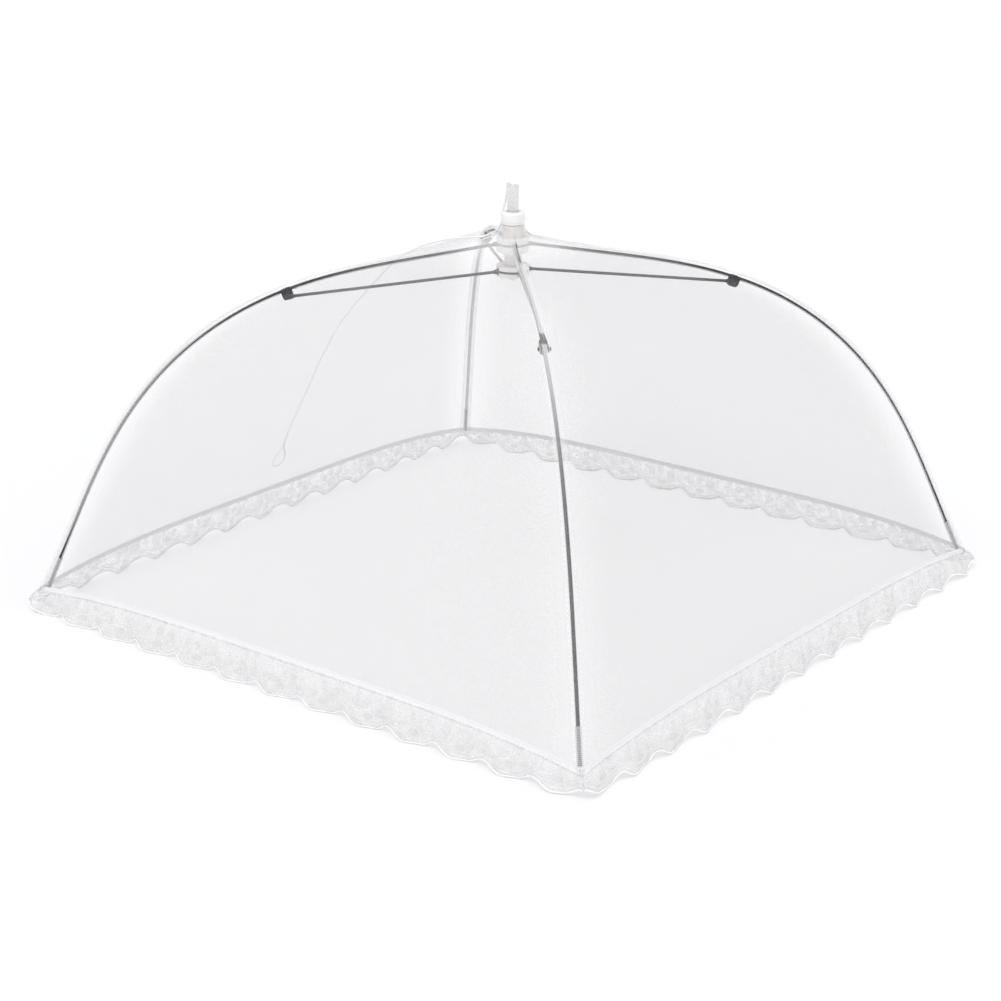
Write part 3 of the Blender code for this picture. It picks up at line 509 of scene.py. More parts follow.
def floral_lace():
    """Lace: an open net ground, small flowers and a close oval spot in each scallop."""
    nodes = Nodes("floral_lace")
    across, from_edge = nodes.uv()
    pitch = LACE_PITCH * TO_MM
    cell = nodes.math("WRAP", across, pitch, 0.0) - pitch / 2

    def away(first, second):
        return nodes.math("SQRT", first * first + second * second)

    def band(value, middle, half):
        return nodes.range(abs(value - middle), half - 0.1, half + 0.1, 1.0, 0.0)

    edge = nodes.range(from_edge, 1.0, 1.3, 1.0, 0.0)
    wave = nodes.math("COSINE", cell * (2 * pi / pitch)) * -2.6
    filled = edge | band(from_edge, 2.6, 0.3) | band(from_edge + wave, 7.2, 0.26)
    for centre, height, size, turn in LACE_FLOWERS:
        side = cell - centre
        rise = from_edge - height
        angle = nodes.math("ARCTAN2", rise, side) + turn
        petals = abs(nodes.math("COSINE", angle * 2.5))
        inside = nodes.math("MULTIPLY_ADD", petals, size / 2, size / 2) - away(side, rise)
        filled = filled | band(inside, 0.3, 0.28) | nodes.range(inside, -0.1, 0.2) * 0.42
    ground = nodes.netting(across, from_edge, pitch=0.9, half_thread=0.12, soft=0.04)
    thickness = nodes.range(nodes.noise(260.0), 0.35, 0.65, 0.45, 1.6)
    open_net = nodes.math("MULTIPLY_ADD", ground, 0.3, 0.1) * thickness
    spot = nodes.range(away((cell - 0.6) * 0.55, from_edge - 6.6), 1.3, 2.0, 1.0, 0.0)
    alpha = filled * 0.7 | open_net | spot * 0.42
    colour = nodes.blend(filled, LACE_SHADE, LACE_WHITE)
    grain = nodes.range(nodes.noise(500.0, detail=4.0), 0.3, 0.7, 0.0, 0.3)
    colour = nodes.blend(grain, colour, LACE_SHADE)
    mottle = nodes.range(nodes.noise(170.0, detail=2.0), 0.35, 0.65, 0.0, 0.7)
    colour = nodes.blend(mottle, colour, LACE_SPOT)
    nodes.set(base_color=nodes.blend(spot, colour, LACE_SPOT), roughness=0.7, alpha=alpha)
    nodes.bump(filled + ground * 0.4, 0.0003, 0.6)
    return nodes.owner


def twisted_cord():
    """White cord with the slanted ridges of its strands."""
    nodes = Nodes("twisted_cord")
    around, along = nodes.uv("cord")
    slant = nodes.math("MULTIPLY_ADD", around, 3.0, along * 0.9)
    ridge = nodes.math("PINGPONG", slant, 0.5)
    nodes.set(base_color=nodes.blend(nodes.range(ridge, 0.0, 0.3), CORD_SHADE, CORD_WHITE),
              roughness=0.8)
    nodes.bump(ridge, 0.0002, 0.7)
    return nodes.owner


def drawn_steel(name, colour, roughness, dark_end=0.0):
    """Grey wire with the faint streaks and specks of a drawn finish, dark near its first end."""
    nodes = Nodes(name)
    specks = nodes.noise(900.0, detail=4.0, roughness=0.6)
    clouds = nodes.noise(35.0, detail=2.0)
    tone = nodes.blend(nodes.range(clouds, 0.3, 0.7), toned(colour, 0.72), colour)
    tone = nodes.blend(nodes.range(specks, 0.55, 0.75, 0.0, 0.6), tone, toned(colour, 1.3))
    if dark_end:
        _, along = nodes.uv("cord")
        tone = nodes.blend(nodes.range(along, dark_end, dark_end + 2), DARK_STEEL, tone)
    nodes.set(base_color=tone, metallic=0.85,
              roughness=nodes.range(specks, 0.2, 0.8, roughness - 0.08, roughness + 0.1))
    nodes.bump(specks, 0.00004, 0.4)
    return nodes.owner


def moulded_plastic(name, colour, roughness, transmission=0.0, skin_strength=0.35, ior=1.5):
    """Moulded plastic with a faint skin texture and tone."""
    nodes = Nodes(name)
    skin = nodes.noise(1400.0, roughness=0.55)
    clouds = nodes.range(nodes.noise(120.0, detail=2.0), 0.3, 0.7)
    nodes.set(base_color=nodes.blend(clouds, toned(colour, 0.93), colour),
              roughness=nodes.range(skin, 0.2, 0.8, roughness - 0.05, roughness + 0.07),
              transmission_weight=transmission, ior=ior)
    nodes.bump(skin, 0.00003, skin_strength)
    return nodes.owner


# Mesh helpers

def mesh_item(name, form, material):
    """Smooth object from a bmesh, with its faces pointing out."""
    bmesh.ops.recalc_face_normals(form, faces=form.faces)
    mesh = bpy.data.meshes.new(name)
    form.to_mesh(mesh)
    form.free()
    mesh.shade_smooth()
    mesh.materials.append(material)
    item = bpy.data.objects.new(name, mesh)
    bpy.context.scene.collection.objects.link(item)
    return item


def declare(item, solid=None, body=None):
    if body:
        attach(item, body)
    if solid:
        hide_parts(solid)


def turned(place, azimuth):
    """A point turned about the cover's axis."""
    return Matrix.Rotation(azimuth, 3, "Z") @ place


def mapped_face(form, layer, corners, marks):
    """Face through some corners, with their places in the map."""
    face = form.faces.new(corners)
    for loop, mark in zip(face.loops, marks):
        loop[layer].uv = mark


def sheet_form(grids, lengths, closed_start=False):
    """Bmesh of a sheet through one grid of points or between two, with its lengths in its map.

    Half a side stays open where it starts, on the side's middle line.
    """
    form = bmesh.new()
    layer = form.loops.layers.uv.new("cloth")
    corners = [[[form.verts.new(place) for place in row] for row in grid] for grid in grids]
    last_row = len(lengths) - 1
    last_column = len(lengths[0]) - 1

    def face(*places):
        mapped_face(form, layer, [corners[g][r][c] for g, r, c in places],
                    [lengths[r][c] for _, r, c in places])

    for g in range(len(grids)):
        for r in range(last_row):
            for c in range(last_column):
                face((g, r, c), (g, r, c + 1), (g, r + 1, c + 1), (g, r + 1, c))
    if len(grids) == 1:
        return form
    for r in range(last_row):
        for c in (0, last_column) if closed_start else (last_column,):
            face((0, r, c), (0, r + 1, c), (1, r + 1, c), (1, r, c))
    for c in range(last_column):
        for r in (0, last_row):
            face((0, r, c), (0, r, c + 1), (1, r, c + 1), (1, r, c))
    return form


def side_form(grids, lengths, index, closed_start=False):
    """Bmesh of a sheet on one side of the cover, from grids of the first side."""
    placed = [[[turned(place, QUARTER * index) for place in row] for row in grid]
              for grid in grids]
    return sheet_form(placed, lengths, closed_start)


def skin_form(rings, lengths, layer_name):
    """Bmesh skin through closed rings, with turns and lengths in its map and closed ends."""
    form = bmesh.new()
    layer = form.loops.layers.uv.new(layer_name)
    rows = [[form.verts.new(place) for place in ring] for ring in rings]
    count = len(rings[0])
    for row in range(len(rows) - 1):
        for corner in range(count):
            places = ((row, corner), (row, corner + 1), (row + 1, corner + 1), (row + 1, corner))
            mapped_face(form, layer, [rows[r][c % count] for r, c in places],
                        [(c / count, lengths[r]) for r, c in places])
    form.faces.new(rows[0])
    form.faces.new(rows[-1])
    return form


def ring_form(rings, layer_name="cloth"):
    """Bmesh skin through closed rings, measured straight from the first one."""
    lengths = [(ring[0] - rings[0][0]).length * TO_MM for ring in rings]
    return skin_form(rings, lengths, layer_name)


def tube_form(route, radius, sides):
    """Bmesh tube along a route, measured along it."""
    rings = []
    lengths = [0]
    side = (route[1] - route[0]).normalized().orthogonal().normalized()
    for index, place in enumerate(route):
        before = route[max(index - 1, 0)]
        after = route[min(index + 1, len(route) - 1)]
        along = (after - before).normalized()
        side = (side - along * side.dot(along)).normalized()
        up = along.cross(side)
        rings.append([place + (side * cos(turn) + up * sin(turn)) * radius
                      for turn in circle(sides)])
        if index:
            lengths.append(lengths[-1] + (place - before).length * TO_MM)
    return skin_form(rings, lengths, "cord")


# Canopy

NET_GATHER_ROWS = 14
NET_RIB_ROWS = 52
NET_HALF_COLUMNS = 30
GATHER_PLEATS = 9
GATHER_DEPTH = 0.0007
PUCKER_DEPTH = 0.0009
PUCKER_RISE = 4
PUCKER_FALL = 9

# Two crossing waves of the net, in radians across half a side and along the ribs
PUCKER_WAVES = ((7, 9), (-5, 17))

# Share for each millimetre below the crown, in a bend direction that each half piece works out and
# does not use
FOLD_SHARE = 0.003


def gather_fold(share, across):
    """Inward depth of the pleats where the net is gathered at the neck."""
    pleat = (1 - cos(2 * pi * GATHER_PLEATS * across)) / 2
    return -GATHER_DEPTH * pleat * sin(pi * smooth_step(share)) * (1 - share)


def net_pucker(station, across):
    """Inward depth of the soft waves along the net's stretched side."""
    share = station / RIB_LENGTH
    first, second = [sin(side * across + down * share) for side, down in PUCKER_WAVES]
    edge = smooth_step(share * PUCKER_RISE) * smooth_step((1 - share) * PUCKER_FALL)
    return -PUCKER_DEPTH * (1 + first * second) / 2 * (1 - across * across) * edge


def half_name(kind, index, side):
    """Name of half a side: its right half is towards the next rib, seen from the crown."""
    return f"{kind}_{index + 1}_{'right' if side < 0 else 'left'}"


def rib_of(index, side):
    """Number of the rib at one end of a side."""
    return (index if side > 0 else index - 1) % SIDES + 1


def half_columns(side, count):
    """Shares across one half of a side, from the middle line to the rib."""
    return [side * share for share in spread(0, 1, count)]


def half_piece(kind, index, side, form, material, solid=None):
    """Piece of half a side, which hides its solid.
    """
    item = mesh_item(half_name(kind, index, side), form, material)
    hem = net_corner(NET_LENGTH) * TO_MM
    crown = CROWN_HEIGHT * TO_MM
    slope = (1 + (crown - hem.y) * FOLD_SHARE) / (hem.x * SIDE_SHARE)
    direction = turned(Vector((0, side * slope, FOLD_SHARE)), QUARTER * index)
    unit = direction.length
    start = direction / unit * (crown * FOLD_SHARE / unit) / TO_MM
    end = start + direction / unit / unit / TO_MM
    f"rib_arm_{rib_of(index, side)}"
    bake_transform(item)
    declare(item, solid and f"{solid}_{index + 1}")
    return item


def net_grid(side):
    """Points of one half of a net panel."""
    shares = half_columns(side, NET_HALF_COLUMNS)
    points = []
    for share in spread(0, 1, NET_GATHER_ROWS):
        row = gather_row(share)
        points.append([cloth_point(row, across, gather_fold(share, across)) for across in shares])
    for station in spread(NET_JOIN_STATION, NET_LENGTH, NET_RIB_ROWS)[1:]:
        row = rib_row(station)
        points.append([cloth_point(row, across, net_pucker(station, across)) for across in shares])
    return points


def lengths_of(points):
    """Real lengths across and along a grid of points."""
    lengths = []
    travel = [0] * len(points[0])
    for index, row in enumerate(points):
        if index:
            travel = [run + (place - above).length for run, place, above
                      in zip(travel, row, points[index - 1])]
        lengths.append([(place.y * TO_MM, run * TO_MM) for place, run in zip(row, travel)])
    return lengths


def sheet_area(points):
    """Area of a sheet through a grid of points."""
    area = 0
    for upper, lower in zip(points, points[1:]):
        for a, b, c, d in zip(upper, upper[1:], lower[1:], lower):
            area += ((c - a).cross(d - b)).length / 2
    return area


def build_net(material):
    """Eight half panels of net."""
    for index, side in HALVES:
        points = net_grid(side)
        form = side_form([points], lengths_of(points), index)
        item = half_piece("net", index, side, form, material, "net_panel")
        min(sheet_area(points), HEM_HALF * NET_LENGTH)
        f"rib_wire_{rib_of(index, side)}"
        bpy.data.objects[half_name("hem", index, side)]


# Rows of the hem tape up from its edge, and their thickness with a ridge along both edges
HEM_ROW_SHARES = (1.0, 0.95, 0.86, 0.78, 0.5, 0.24, 0.14, 0.05, 0.0)
HEM_RIDGE_SHARES = (0.6, 1.6, 1.6, 0.9, 0.8, 0.9, 1.6, 1.6, 0.6)


def build_hem(material):
    """Hem tape in eight halves, each with a soft ridge along both edges."""
    stations = [NET_LENGTH - HEM_BAND_HEIGHT * share for share in HEM_ROW_SHARES]
    rows = [rib_row(station) for station in stations]
    for index, side in HALVES:
        shares = half_columns(side, NET_HALF_COLUMNS)
        grids = [[[cloth_point(row, across, TAPE_OUT + layer * CLOTH_THICKNESS * ridge / 2)
                   for across in shares] for row, ridge in zip(rows, HEM_RIDGE_SHARES)]
                 for layer in (1, -1)]
        lengths = [[(abs(across) * HEM_HALF * TO_MM, (NET_LENGTH - station) * TO_MM)
                    for across in shares] for station in stations]
        half_piece("hem", index, side, side_form(grids, lengths, index), material,
                   "hem_tape")


LACE_ROWS = 10
LACE_COLUMNS = 20
LACE_CLOTH_SHARE = 0.85
LACE_RUFFLE_WAVES = 2
LACE_GATHER_WAVES = 6
LACE_GATHER_LEAN = 2
FOOT_CUT = 0.0005
EDGE_CORD_SIDES = 10


def lace_phase(across):
    """Angle of the scallops' wave at a share across one side."""
    return pi * LACE_SCALLOPS * (across + 1) / 2


def lace_line(across):
    """The lace's upper edge, its line down to the table and its width, at a share across."""
    arch = hem_arch(across)
    start = LACE_EDGE + GAP + LACE_THICKNESS / 2
    top = Vector((start + NET_HEM_BULGE * arch, HEM_ROW[0].y + LACE_LAP + NET_HEM_LIFT * arch))
    drop = Vector((start + LACE_REACH, -FOOT_CUT)) - top
    width = drop.length - LACE_SCALLOP_DEPTH * cos(lace_phase(across)) ** LACE_BLUNT_POWER
    from_corner = LACE_EDGE * (1 - abs(across))
    width *= mix(LACE_CORNER_SHARE, 1, smooth_step(from_corner / LACE_CORNER_REACH))
    return top, drop.normalized(), width


def lace_point(across, down, out):
    """Point of the lace at a share along the side and a share of its width."""
    top, run, width = lace_line(across)
    phase = lace_phase(across)
    gather = sin(phase * LACE_GATHER_WAVES + LACE_GATHER_LEAN * down)
    ruffle = LACE_RUFFLE * down * sin(phase * LACE_RUFFLE_WAVES)
    ruffle += LACE_GATHER * sin(pi * down) * gather
    place = top + run * width * down + Vector((-run.y, run.x)) * (ruffle + out)
    return Vector((place.x, across * (place.x - GAP), max(place.y, 0)))


def build_lace(material, thread):
    """Lace trim in eight halves, with a corded edge along the scallops."""
    downs = spread(0, 1, LACE_ROWS)
    width = lace_line(0)[2]
    rise = Vector((0, 0, EDGE_CORD_RADIUS))
    for index, side in HALVES:
        shares = half_columns(side, LACE_SCALLOPS * LACE_COLUMNS // 2)
        route = [turned(lace_point(across, 1, 0) + rise, QUARTER * index) for across in shares]
        edge = tube_form(route, EDGE_CORD_RADIUS, EDGE_CORD_SIDES)
        cord = half_piece("lace_edge", index, side, edge, thread)
        grids = [[[lace_point(across, down, layer * LACE_THICKNESS / 2) for across in shares]
                  for down in downs] for layer in (1, -1)]
        lengths = [[(LACE_EDGE * TO_MM * (1 + across), (1 - down) * lace_line(across)[2] * TO_MM)
                    for across in shares] for down in downs]
        form = side_form(grids, lengths, index)
        item = half_piece("lace", index, side, form, material, "lace_trim")
        LACE_EDGE * width * LACE_CLOTH_SHARE
        half_name("hem", index, side)


# Ribs, seams and pockets

RIB_FINE_STATIONS = 90
RIB_FINE_SIDES = 16

# Sections of the rib's flat tongue: along the rib and half its height, in eye radii
TONGUE_SHARES = ((-1, 0.5), (-0.8, 0.8), (-0.5, 1), (1, 1))


def rib_plane(index, place, across=0.0):
    """A place of a rib's own plane, in the frame."""
    azimuth = QUARTER * (index + 0.5)
    return turned(Vector((RIB_PIVOT_RADIUS + place.x, across, CROWN_HEIGHT + place.y)), azimuth)


def rib_ring(index, centre, normal, turns, half_width, half_height):
    """Points round a place of a rib at some turns, in the frame."""
    return [rib_plane(index, centre + normal * half_height * sin(turn),
                      half_width * cos(turn)) for turn in turns]


def rib_piece(kind, index, form, material, solid=None):
    """Piece that rides on a rib."""
    item = mesh_item(f"{kind}_{index + 1}", form, material)
    declare(item, solid and f"{solid}_{index + 1}", f"rib_arm_{index + 1}")
    return item


def build_ribs(steel):
    """Fine rib wires with their flat tongues."""
    sections = [(EYE_RADIUS * along, TONGUE_HALF_THICKNESS, EYE_RADIUS * high)
                for along, high in TONGUE_SHARES]
    sections += [(station, RIB_RADIUS, RIB_RADIUS)
                 for station in spread(TONGUE_LENGTH, RIB_LENGTH, RIB_FINE_STATIONS)]
    turns = circle(RIB_FINE_SIDES)
    for index in range(SIDES):
        rings = [rib_ring(index, rib_point(station), rib_normal(station), turns, wide, high)
                 for station, wide, high in sections]
        rib_piece("rib_wire", index, ring_form(rings, "cord"), steel, "rib")


SEAM_ROWS = 60
SEAM_ACROSS_SHARES = (-1.0, -0.92, -0.6, -0.3, -0.1, 0.0, 0.1, 0.3, 0.6, 0.92, 1.0)
BINDING_STEPS = 10
BINDING_THICKNESS = 0.00025
BINDING_CLIP_GAP = 0.0012
BINDING_START_TURN = pi * 1.12
BINDING_END_TURN = pi * 1.88


def build_bindings(material):
    """Strips of sheer cloth sewn under the ribs, from the crown to the clip and the pocket."""
    clear = CLIP_LENGTH / 2 + BINDING_CLIP_GAP
    runs = {"inner": (NET_JOIN_STATION, CLIP_STATION - clear),
            "outer": (CLIP_STATION + clear, RIB_LENGTH - POCKET_LENGTH - GAP)}
    radius = RIB_RADIUS + GAP / 3
    turns = spread(BINDING_START_TURN, BINDING_END_TURN, BINDING_STEPS)
    for index in range(SIDES):
        for part, (start, end) in runs.items():
            stations = spread(start, end, SEAM_ROWS // 2)
            grids = [[rib_ring(index, rib_point(station), rib_normal(station), turns, reach, reach)
                      for station in stations] for reach in (radius + BINDING_THICKNESS, radius)]
            lengths = [[(station * TO_MM, step) for step in range(BINDING_STEPS + 1)]
                       for station in stations]
            form = sheet_form(grids, lengths, closed_start=True)
            rib_piece(f"rib_binding_{part}", index, form, material)


def seam_point(row, share, layer):
    """Point of a seam tape at a share of its half width, past the rib where that is above 0."""
    thickness = CLOTH_THICKNESS * (0.5 if abs(share) == 1 else 1)
    across = 1 - abs(share) * SEAM_HALF_WIDTH / (row[0].x * SIDE_SHARE)
    place = cloth_point(row, across, TAPE_OUT + layer * thickness / 2, gap=0)
    return Vector((place.y, place.x, place.z)) if share > 0 else place


def build_seams(material):
    """Seam tapes folded over the ribs."""
    last = NET_LENGTH - HEM_BAND_HEIGHT - GAP
    stations = spread(NET_JOIN_STATION, last, SEAM_ROWS)
    rows = [rib_row(station) for station in stations]
    grids = [[[seam_point(row, share, layer) for share in SEAM_ACROSS_SHARES] for row in rows]
             for layer in (1, -1)]
    lengths = [[(station * TO_MM, (1 - abs(share)) * SEAM_HALF_WIDTH * TO_MM)
                for share in SEAM_ACROSS_SHARES] for station in stations]
    for index in range(SIDES):
        form = side_form(grids, lengths, index, closed_start=True)
        item = rib_piece("seam_cover", index, form, material, "seam_tape")


POCKET_SIDES = 24
POCKET_WALL = 0.00045
POCKET_START_SHARE = 0.04
POCKET_ROWS = 10
POCKET_DOME_SHARES = (0.45, 0.8, 1.0)
POCKET_TIP_SHARE = 0.02


def build_pockets(material):
    """Cloth pockets at the rib tips, closed round the tip."""
    inner = RIB_RADIUS + GAP
    outer = inner + POCKET_WALL
    sections = []
    rows = [(0.0, inner), (0.0, outer)]
    rows += [(share, outer) for share in spread(POCKET_START_SHARE, 1, POCKET_ROWS)]
    for share, radius in rows:
        station = RIB_LENGTH - POCKET_LENGTH * (1 - share)
        sections.append((rib_point(station), rib_normal(station), radius))
    tip, normal, _ = sections[-1]
    run = Vector((normal.y, -normal.x))
    for share in POCKET_DOME_SHARES:
        radius = outer * sqrt(max(1 - share * share, POCKET_TIP_SHARE))
        sections.append((tip + run * (GAP + POCKET_WALL) * share, normal, radius))
    turns = circle(POCKET_SIDES)
    for index in range(SIDES):
        rings = [rib_ring(index, centre, normal, turns, radius, radius)
                 for centre, normal, radius in sections]
        rib_piece("tip_pocket", index, ring_form(rings), material, "corner_pocket")


# Pull cord

ROUTE_STEPS = 24
CORD_STEP = 0.0012
CORD_SIDES = 12
LOOP_STEPS = 48
INNER_STEPS = 40
KNOT_TURNS = 3
KNOT_STEPS = 60
KNOT_END_SHARE = 0.72
KNOT_CORD_SHARE = 0.95


def smooth_route(places, spacing):
    """Evenly spaced points on a smooth curve through a route's own points."""
    route = [Vector(place) for place in places]
    route = [2 * route[0] - route[1]] + route + [2 * route[-1] - route[-2]]
    fine = []
    for before, start, end, after in zip(route, route[1:], route[2:], route[3:]):
        for share in spread(0, 1, ROUTE_STEPS)[:-1]:
            bend = (2 * before - 5 * start + 4 * end - after) * share ** 2
            bend += (3 * (start - end) + after - before) * share ** 3
            fine.append(start + ((end - before) * share + bend) / 2)
    fine.append(route[-2])
    travel = np.cumsum([0] + [(after - before).length for before, after in zip(fine, fine[1:])])
    wanted = np.linspace(0, travel[-1], round(travel[-1] / spacing) + 1)
    columns = [np.interp(wanted, travel, [place[axis] for place in fine]) for axis in range(3)]
    return [Vector(place) for place in zip(*columns)]


def cord_item(name, route, material, radius=CORD_RADIUS):
    """Object of a stretch of cord."""
    return mesh_item(name, tube_form(route, radius, CORD_SIDES), material)


def barrel_knot(name, start, along, material):
    """Overhand knot: three slanted turns of cord round a barrel."""
    side = along.orthogonal().normalized()
    up = along.cross(side)
    route = []
    for index in range(KNOT_STEPS + 1):
        share = index / KNOT_STEPS
        angle = 2 * pi * KNOT_TURNS * share
        swell = mix(KNOT_END_SHARE, 1, sin(pi * share)) * (KNOT_RADIUS - CORD_RADIUS)
        run = CORD_RADIUS + (KNOT_LENGTH - 2 * CORD_RADIUS) * share
        route.append(start + along * run + (side * cos(angle) + up * sin(angle)) * swell)
    return cord_item(name, route, material, CORD_RADIUS * KNOT_CORD_SHARE)


def loop_route(start, along):
    """Drop-shaped route of the pull loop, from its knot and back."""
    normal = Vector((1, 0, 0)).cross(along).normalized()
    across = along.cross(normal)
    route = []
    for share in spread(0, 1, LOOP_STEPS):
        turn = 2 * pi * share
        reach = LOOP_LENGTH * (1 - cos(turn)) / 2
        side = (CORD_RADIUS + GAP / 2) * cos(turn / 2)
        side += LOOP_HALF_WIDTH * sin(turn) * sin(turn / 2)
        route.append(start + along * reach + across * side)
    return route


def build_cord(material):
    """Free cord with its knot and loop, and the stretch inside the tube with its knot."""
    route = smooth_route(CORD_ROUTE, CORD_STEP)
    along = (route[-1] - route[-2]).normalized()
    knot_start = route[-1] + along * GAP
    loop_start = knot_start + along * (KNOT_LENGTH + GAP)
    cord = cord_item("cord_free", route, material)
    declare(cord, "pull_cord", "canopy")
    knot = barrel_knot("cord_loop_knot", knot_start, along, material)
    declare(knot, "loop_knot", "canopy")
    loop = cord_item("cord_loop", loop_route(loop_start, along), material)
    declare(loop, "pull_loop", "canopy")
    low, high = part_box("inner_cord")
    inner_route = [Vector((0, 0, height)) for height in spread(low.z, high.z, INNER_STEPS)]
    inner = cord_item("cord_inner", inner_route, material)
    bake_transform(inner)
    declare(inner, "inner_cord")
    _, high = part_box("runner_knot")
    foot = barrel_knot("cord_foot_knot", Vector((0, 0, high.z)), Vector((0, 0, -1)), material)
    declare(foot, "runner_knot", "runner")


# Cap, push tube and rib clips, finer than their solids

TURNED_SIDES = 96
ROUND_STEPS = 6
CAP_FILLET = 0.0018
CAP_GROOVE_SHARE = 0.16
CAP_GROOVE_SLOPE_SHARE = 1.4
SLIDE_BORE_RADIUS = 0.0037
TUBE_BORE_RADIUS = 0.0021
EDGE_ROUND = 0.0003


def rounded(corners, rounds):
    """Closed outline of (radius, height) with each corner rounded by its own radius."""
    outline = []
    for index, corner in enumerate(corners):
        here = Vector(corner)
        before = (Vector(corners[index - 1]) - here).normalized()
        after = (Vector(corners[(index + 1) % len(corners)]) - here).normalized()
        start = here + before * rounds[index]
        end = here + after * rounds[index]
        for share in spread(0, 1, ROUND_STEPS):
            rest = 1 - share
            outline.append(start * rest ** 2 + here * 2 * rest * share + end * share ** 2)
    return outline


def turned_item(name, outline, material):
    """Object turned about the axis from a closed outline of (radius, height)."""
    form = bmesh.new()
    rings = [[form.verts.new(turned(Vector((place.x, 0, place.y)), azimuth))
              for place in outline] for azimuth in circle(TURNED_SIDES)]
    for ring, after in zip(rings, rings[1:] + rings[:1]):
        for corner in range(len(outline)):
            beyond = (corner + 1) % len(outline)
            form.faces.new((ring[corner], ring[beyond], after[beyond], after[corner]))
    return mesh_item(name, form, material)


def build_cap(plastic):
    """Cap with a rounded shoulder, and a shallow groove above its foot."""
    low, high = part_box("top_cap")
    radius = high.x
    groove = (high.z - low.z) * CAP_GROOVE_SHARE
    corners = [(SLIDE_BORE_RADIUS, low.z), (radius - EDGE_ROUND, low.z),
               (radius - EDGE_ROUND, low.z + groove),
               (radius, low.z + groove * CAP_GROOVE_SLOPE_SHARE),
               (radius, high.z), (SLIDE_BORE_RADIUS, high.z)]
    rounds = [EDGE_ROUND, EDGE_ROUND, EDGE_ROUND / 3, EDGE_ROUND / 3, CAP_FILLET, EDGE_ROUND]
    cap = turned_item("cap_shell", rounded(corners, rounds), plastic)
    declare(cap, "top_cap", "canopy")


def build_tube(plastic):
    """Push tube with softly rounded ends."""
    low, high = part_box("push_tube")
    corners = [(TUBE_BORE_RADIUS, low.z), (high.x, low.z), (high.x, high.z),
               (TUBE_BORE_RADIUS, high.z)]
    tube = turned_item("tube_shell", rounded(corners, [EDGE_ROUND] * len(corners)), plastic)
    declare(tube, "push_tube", "runner")


CLIP_RINGS = 14
CLIP_BEND_STEPS = 10


def clip_section(trim):
    """Closed outline of the clip across the rib, less deep and less high by the trim."""
    inner = RIB_RADIUS + GAP
    lip = CLIP_LIP - trim
    floor = -CLIP_WEB_DEPTH - CLIP_WALL + trim
    outline = []
    for radius, base, order in ((inner + CLIP_WALL, floor, 1), (inner, floor + CLIP_WALL, -1)):
        side = [Vector((radius, lip))]
        for turn in spread(0, pi, CLIP_BEND_STEPS):
            side.append(Vector((radius * cos(turn), base + radius * (1 - sin(turn)))))
        side.append(Vector((-radius, lip)))
        outline += side[::order]
    return outline


def build_clips(steel):
    """Bent clips with a round web and rounded ears."""
    normal = rib_normal(CLIP_STATION)
    run = Vector((normal.y, -normal.x))
    middle = rib_point(CLIP_STATION)
    for index in range(SIDES):
        rings = []
        for share in spread(-1, 1, CLIP_RINGS):
            along = sin(share * pi / 2) * CLIP_LENGTH / 2
            from_end = CLIP_LENGTH / 2 - abs(along)
            inset = max(CLIP_CORNER - from_end, 0)
            trim = CLIP_CORNER - sqrt(CLIP_CORNER ** 2 - inset ** 2)
            rings.append([rib_plane(index, middle + run * along + normal * place.y, place.x)
                          for place in clip_section(trim)])
        rib_piece("clip_shell", index, ring_form(rings), steel, "rib_clip")


def paint_solids(prefixes, material):
    """Give the solids that stay in the looks their material."""
    for name in frame["nodes"]:
        if name.startswith(prefixes):
            materials = bpy.data.objects[name].data.materials
            materials.clear()
            materials.append(material)


# Camera, floor and light

CAMERA_PLACE = Vector((-1.0604, -0.8283, 0.5295))
CAMERA_DIRECTION = Vector((0.7403, 0.5847, -0.3317))
CAMERA_FOCAL_PIXELS = 2342.3
PHOTO_PIXELS = 1001
SENSOR_WIDTH = 36
FLOOR_SIZE = 12
FLOOR_DROP = 0.0002

# The floor glows a little, so that it comes out as white as the photo's backdrop
FLOOR_GLOW = 1.12
FLOOR_GLOW_SHARE = 0.22
SKY_STRENGTH = 0.78

# Broad soft lights: direction, strength and how wide they look, in degrees
LIGHTS = {"key_light": ((0.75, 0.1, -1.0), 1.02, 40), "fill_light": ((0.1, 0.9, -0.75), 0.52, 60)}


def aimed_item(name, data, direction):
    """Camera or light that looks in a direction."""
    item = bpy.data.objects.new(name, data)
    item.rotation_euler = Vector(direction).to_track_quat("-Z", "Y").to_euler()
    bpy.context.scene.collection.objects.link(item)
    return item


def build_camera():
    """Camera at the photograph's place and angle."""
    data = bpy.data.cameras.new("camera")
    data.sensor_width = SENSOR_WIDTH
    data.lens = CAMERA_FOCAL_PIXELS / PHOTO_PIXELS * SENSOR_WIDTH
    camera = aimed_item("camera", data, CAMERA_DIRECTION)
    camera.location = CAMERA_PLACE
    bpy.context.scene.camera = camera


def white_seen(nodes):
    """1 for rays that see the backdrop: from the camera, by gloss or through clear pieces."""
    rays = [nodes.node("ShaderNodeLightPath", output=f"Is {kind} Ray")
            for kind in ("Camera", "Glossy", "Transmission")]
    return rays[0] | rays[1] | rays[2]


def show_both(nodes, output_kind, share, first, second):
    """Surface that goes from the first shader to the second by a share."""
    both = nodes.node("ShaderNodeMixShader", enumerate((share, first, second)))
    output = nodes.tree.nodes.new(output_kind)
    nodes.give(output.inputs["Surface"], both)


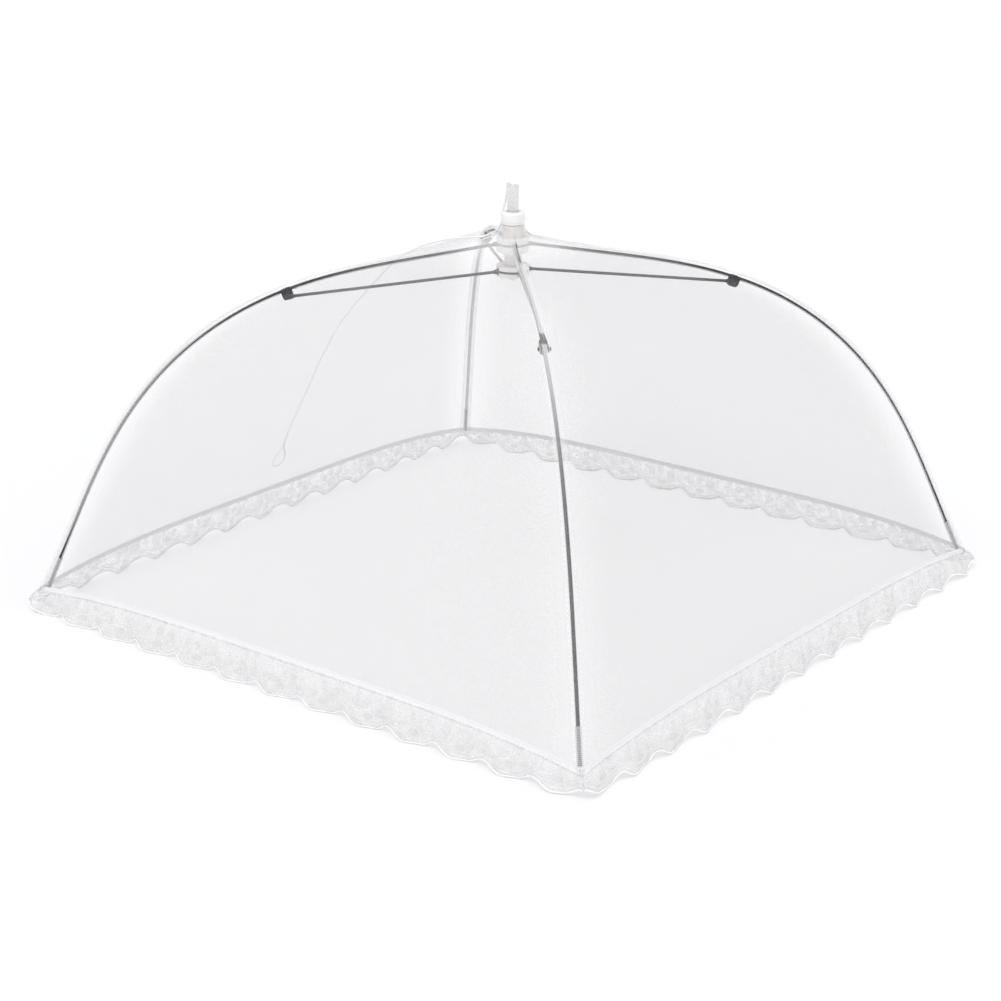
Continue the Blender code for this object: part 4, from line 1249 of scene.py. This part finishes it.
def build_floor():
    """Plain pale floor that keeps a soft shadow."""
    nodes = Nodes("floor")
    nodes.tree.nodes.clear()
    paint = nodes.node("ShaderNodeBsdfDiffuse", {"Color": FLOOR_WHITE})
    glow = nodes.node("ShaderNodeEmission", {"Color": WHITE, "Strength": FLOOR_GLOW})
    share = white_seen(nodes) * FLOOR_GLOW_SHARE
    show_both(nodes, "ShaderNodeOutputMaterial", share, paint, glow)
    form = bmesh.new()
    bmesh.ops.create_grid(form, x_segments=1, y_segments=1, size=FLOOR_SIZE / 2)
    floor = mesh_item("floor", form, nodes.owner)
    floor.location = (0, 0, -FLOOR_DROP)


def build_world():
    """Pale world: white where it is seen, softer as a light."""
    nodes = Nodes("world", "worlds")
    nodes.tree.nodes.clear()
    light = nodes.node("ShaderNodeBackground", {"Color": SKY_WHITE, "Strength": SKY_STRENGTH})
    seen = nodes.node("ShaderNodeBackground", {"Color": WHITE, "Strength": 1})
    show_both(nodes, "ShaderNodeOutputWorld", white_seen(nodes), light, seen)
    bpy.context.scene.world = nodes.owner


def build_lights():
    """Broad soft lights that fall evenly on the whole floor."""
    for name, (direction, strength, width) in LIGHTS.items():
        data = bpy.data.lights.new(name, "SUN")
        data.energy = strength
        data.angle = radians(width)
        aimed_item(name, data, direction)


def main():
    """Build the looks over the frame."""
    bpy.context.scene.view_settings.view_transform = "Standard"
    build_camera()
    build_floor()
    build_world()
    build_lights()
    cord = twisted_cord()
    steel = drawn_steel("rib_steel", STEEL_GREY, roughness=0.38)
    wire = drawn_steel("rib_wire", STEEL_GREY, roughness=0.38, dark_end=9.0)
    dark = drawn_steel("clip_steel", DARK_STEEL, roughness=0.42)
    plastic = moulded_plastic("white_plastic", PLASTIC_WHITE, roughness=0.38)
    # The crown hub's darker beige tone is partly its own tint and partly painted shade
    hub = moulded_plastic("hub_plastic", HUB_BEIGE_AND_SHADE, roughness=0.4)
    tube = moulded_plastic("tube_plastic", TUBE_CLEAR, roughness=0.3, transmission=0.55,
                           skin_strength=0.06, ior=1.2)
    build_cord(cord)
    build_ribs(wire)
    build_hem(woven_tape())
    build_net(net_cloth())
    build_lace(floral_lace(), cord)
    build_pockets(sheer_net("pocket_net", ground=0.3, thread=0.25))
    build_bindings(sheer_net("binding_net", ground=0.38, thread=0.25))
    build_seams(seam_net())
    build_cap(plastic)
    build_tube(tube)
    build_clips(dark)
    paint_solids(("stretcher_", "clip_pin_", "crown_ring", "runner_ring"), steel)
    paint_solids("pivot_rivet_", dark)
    paint_solids("crown_hub", hub)
    paint_solids("runner_hub", plastic)


main()
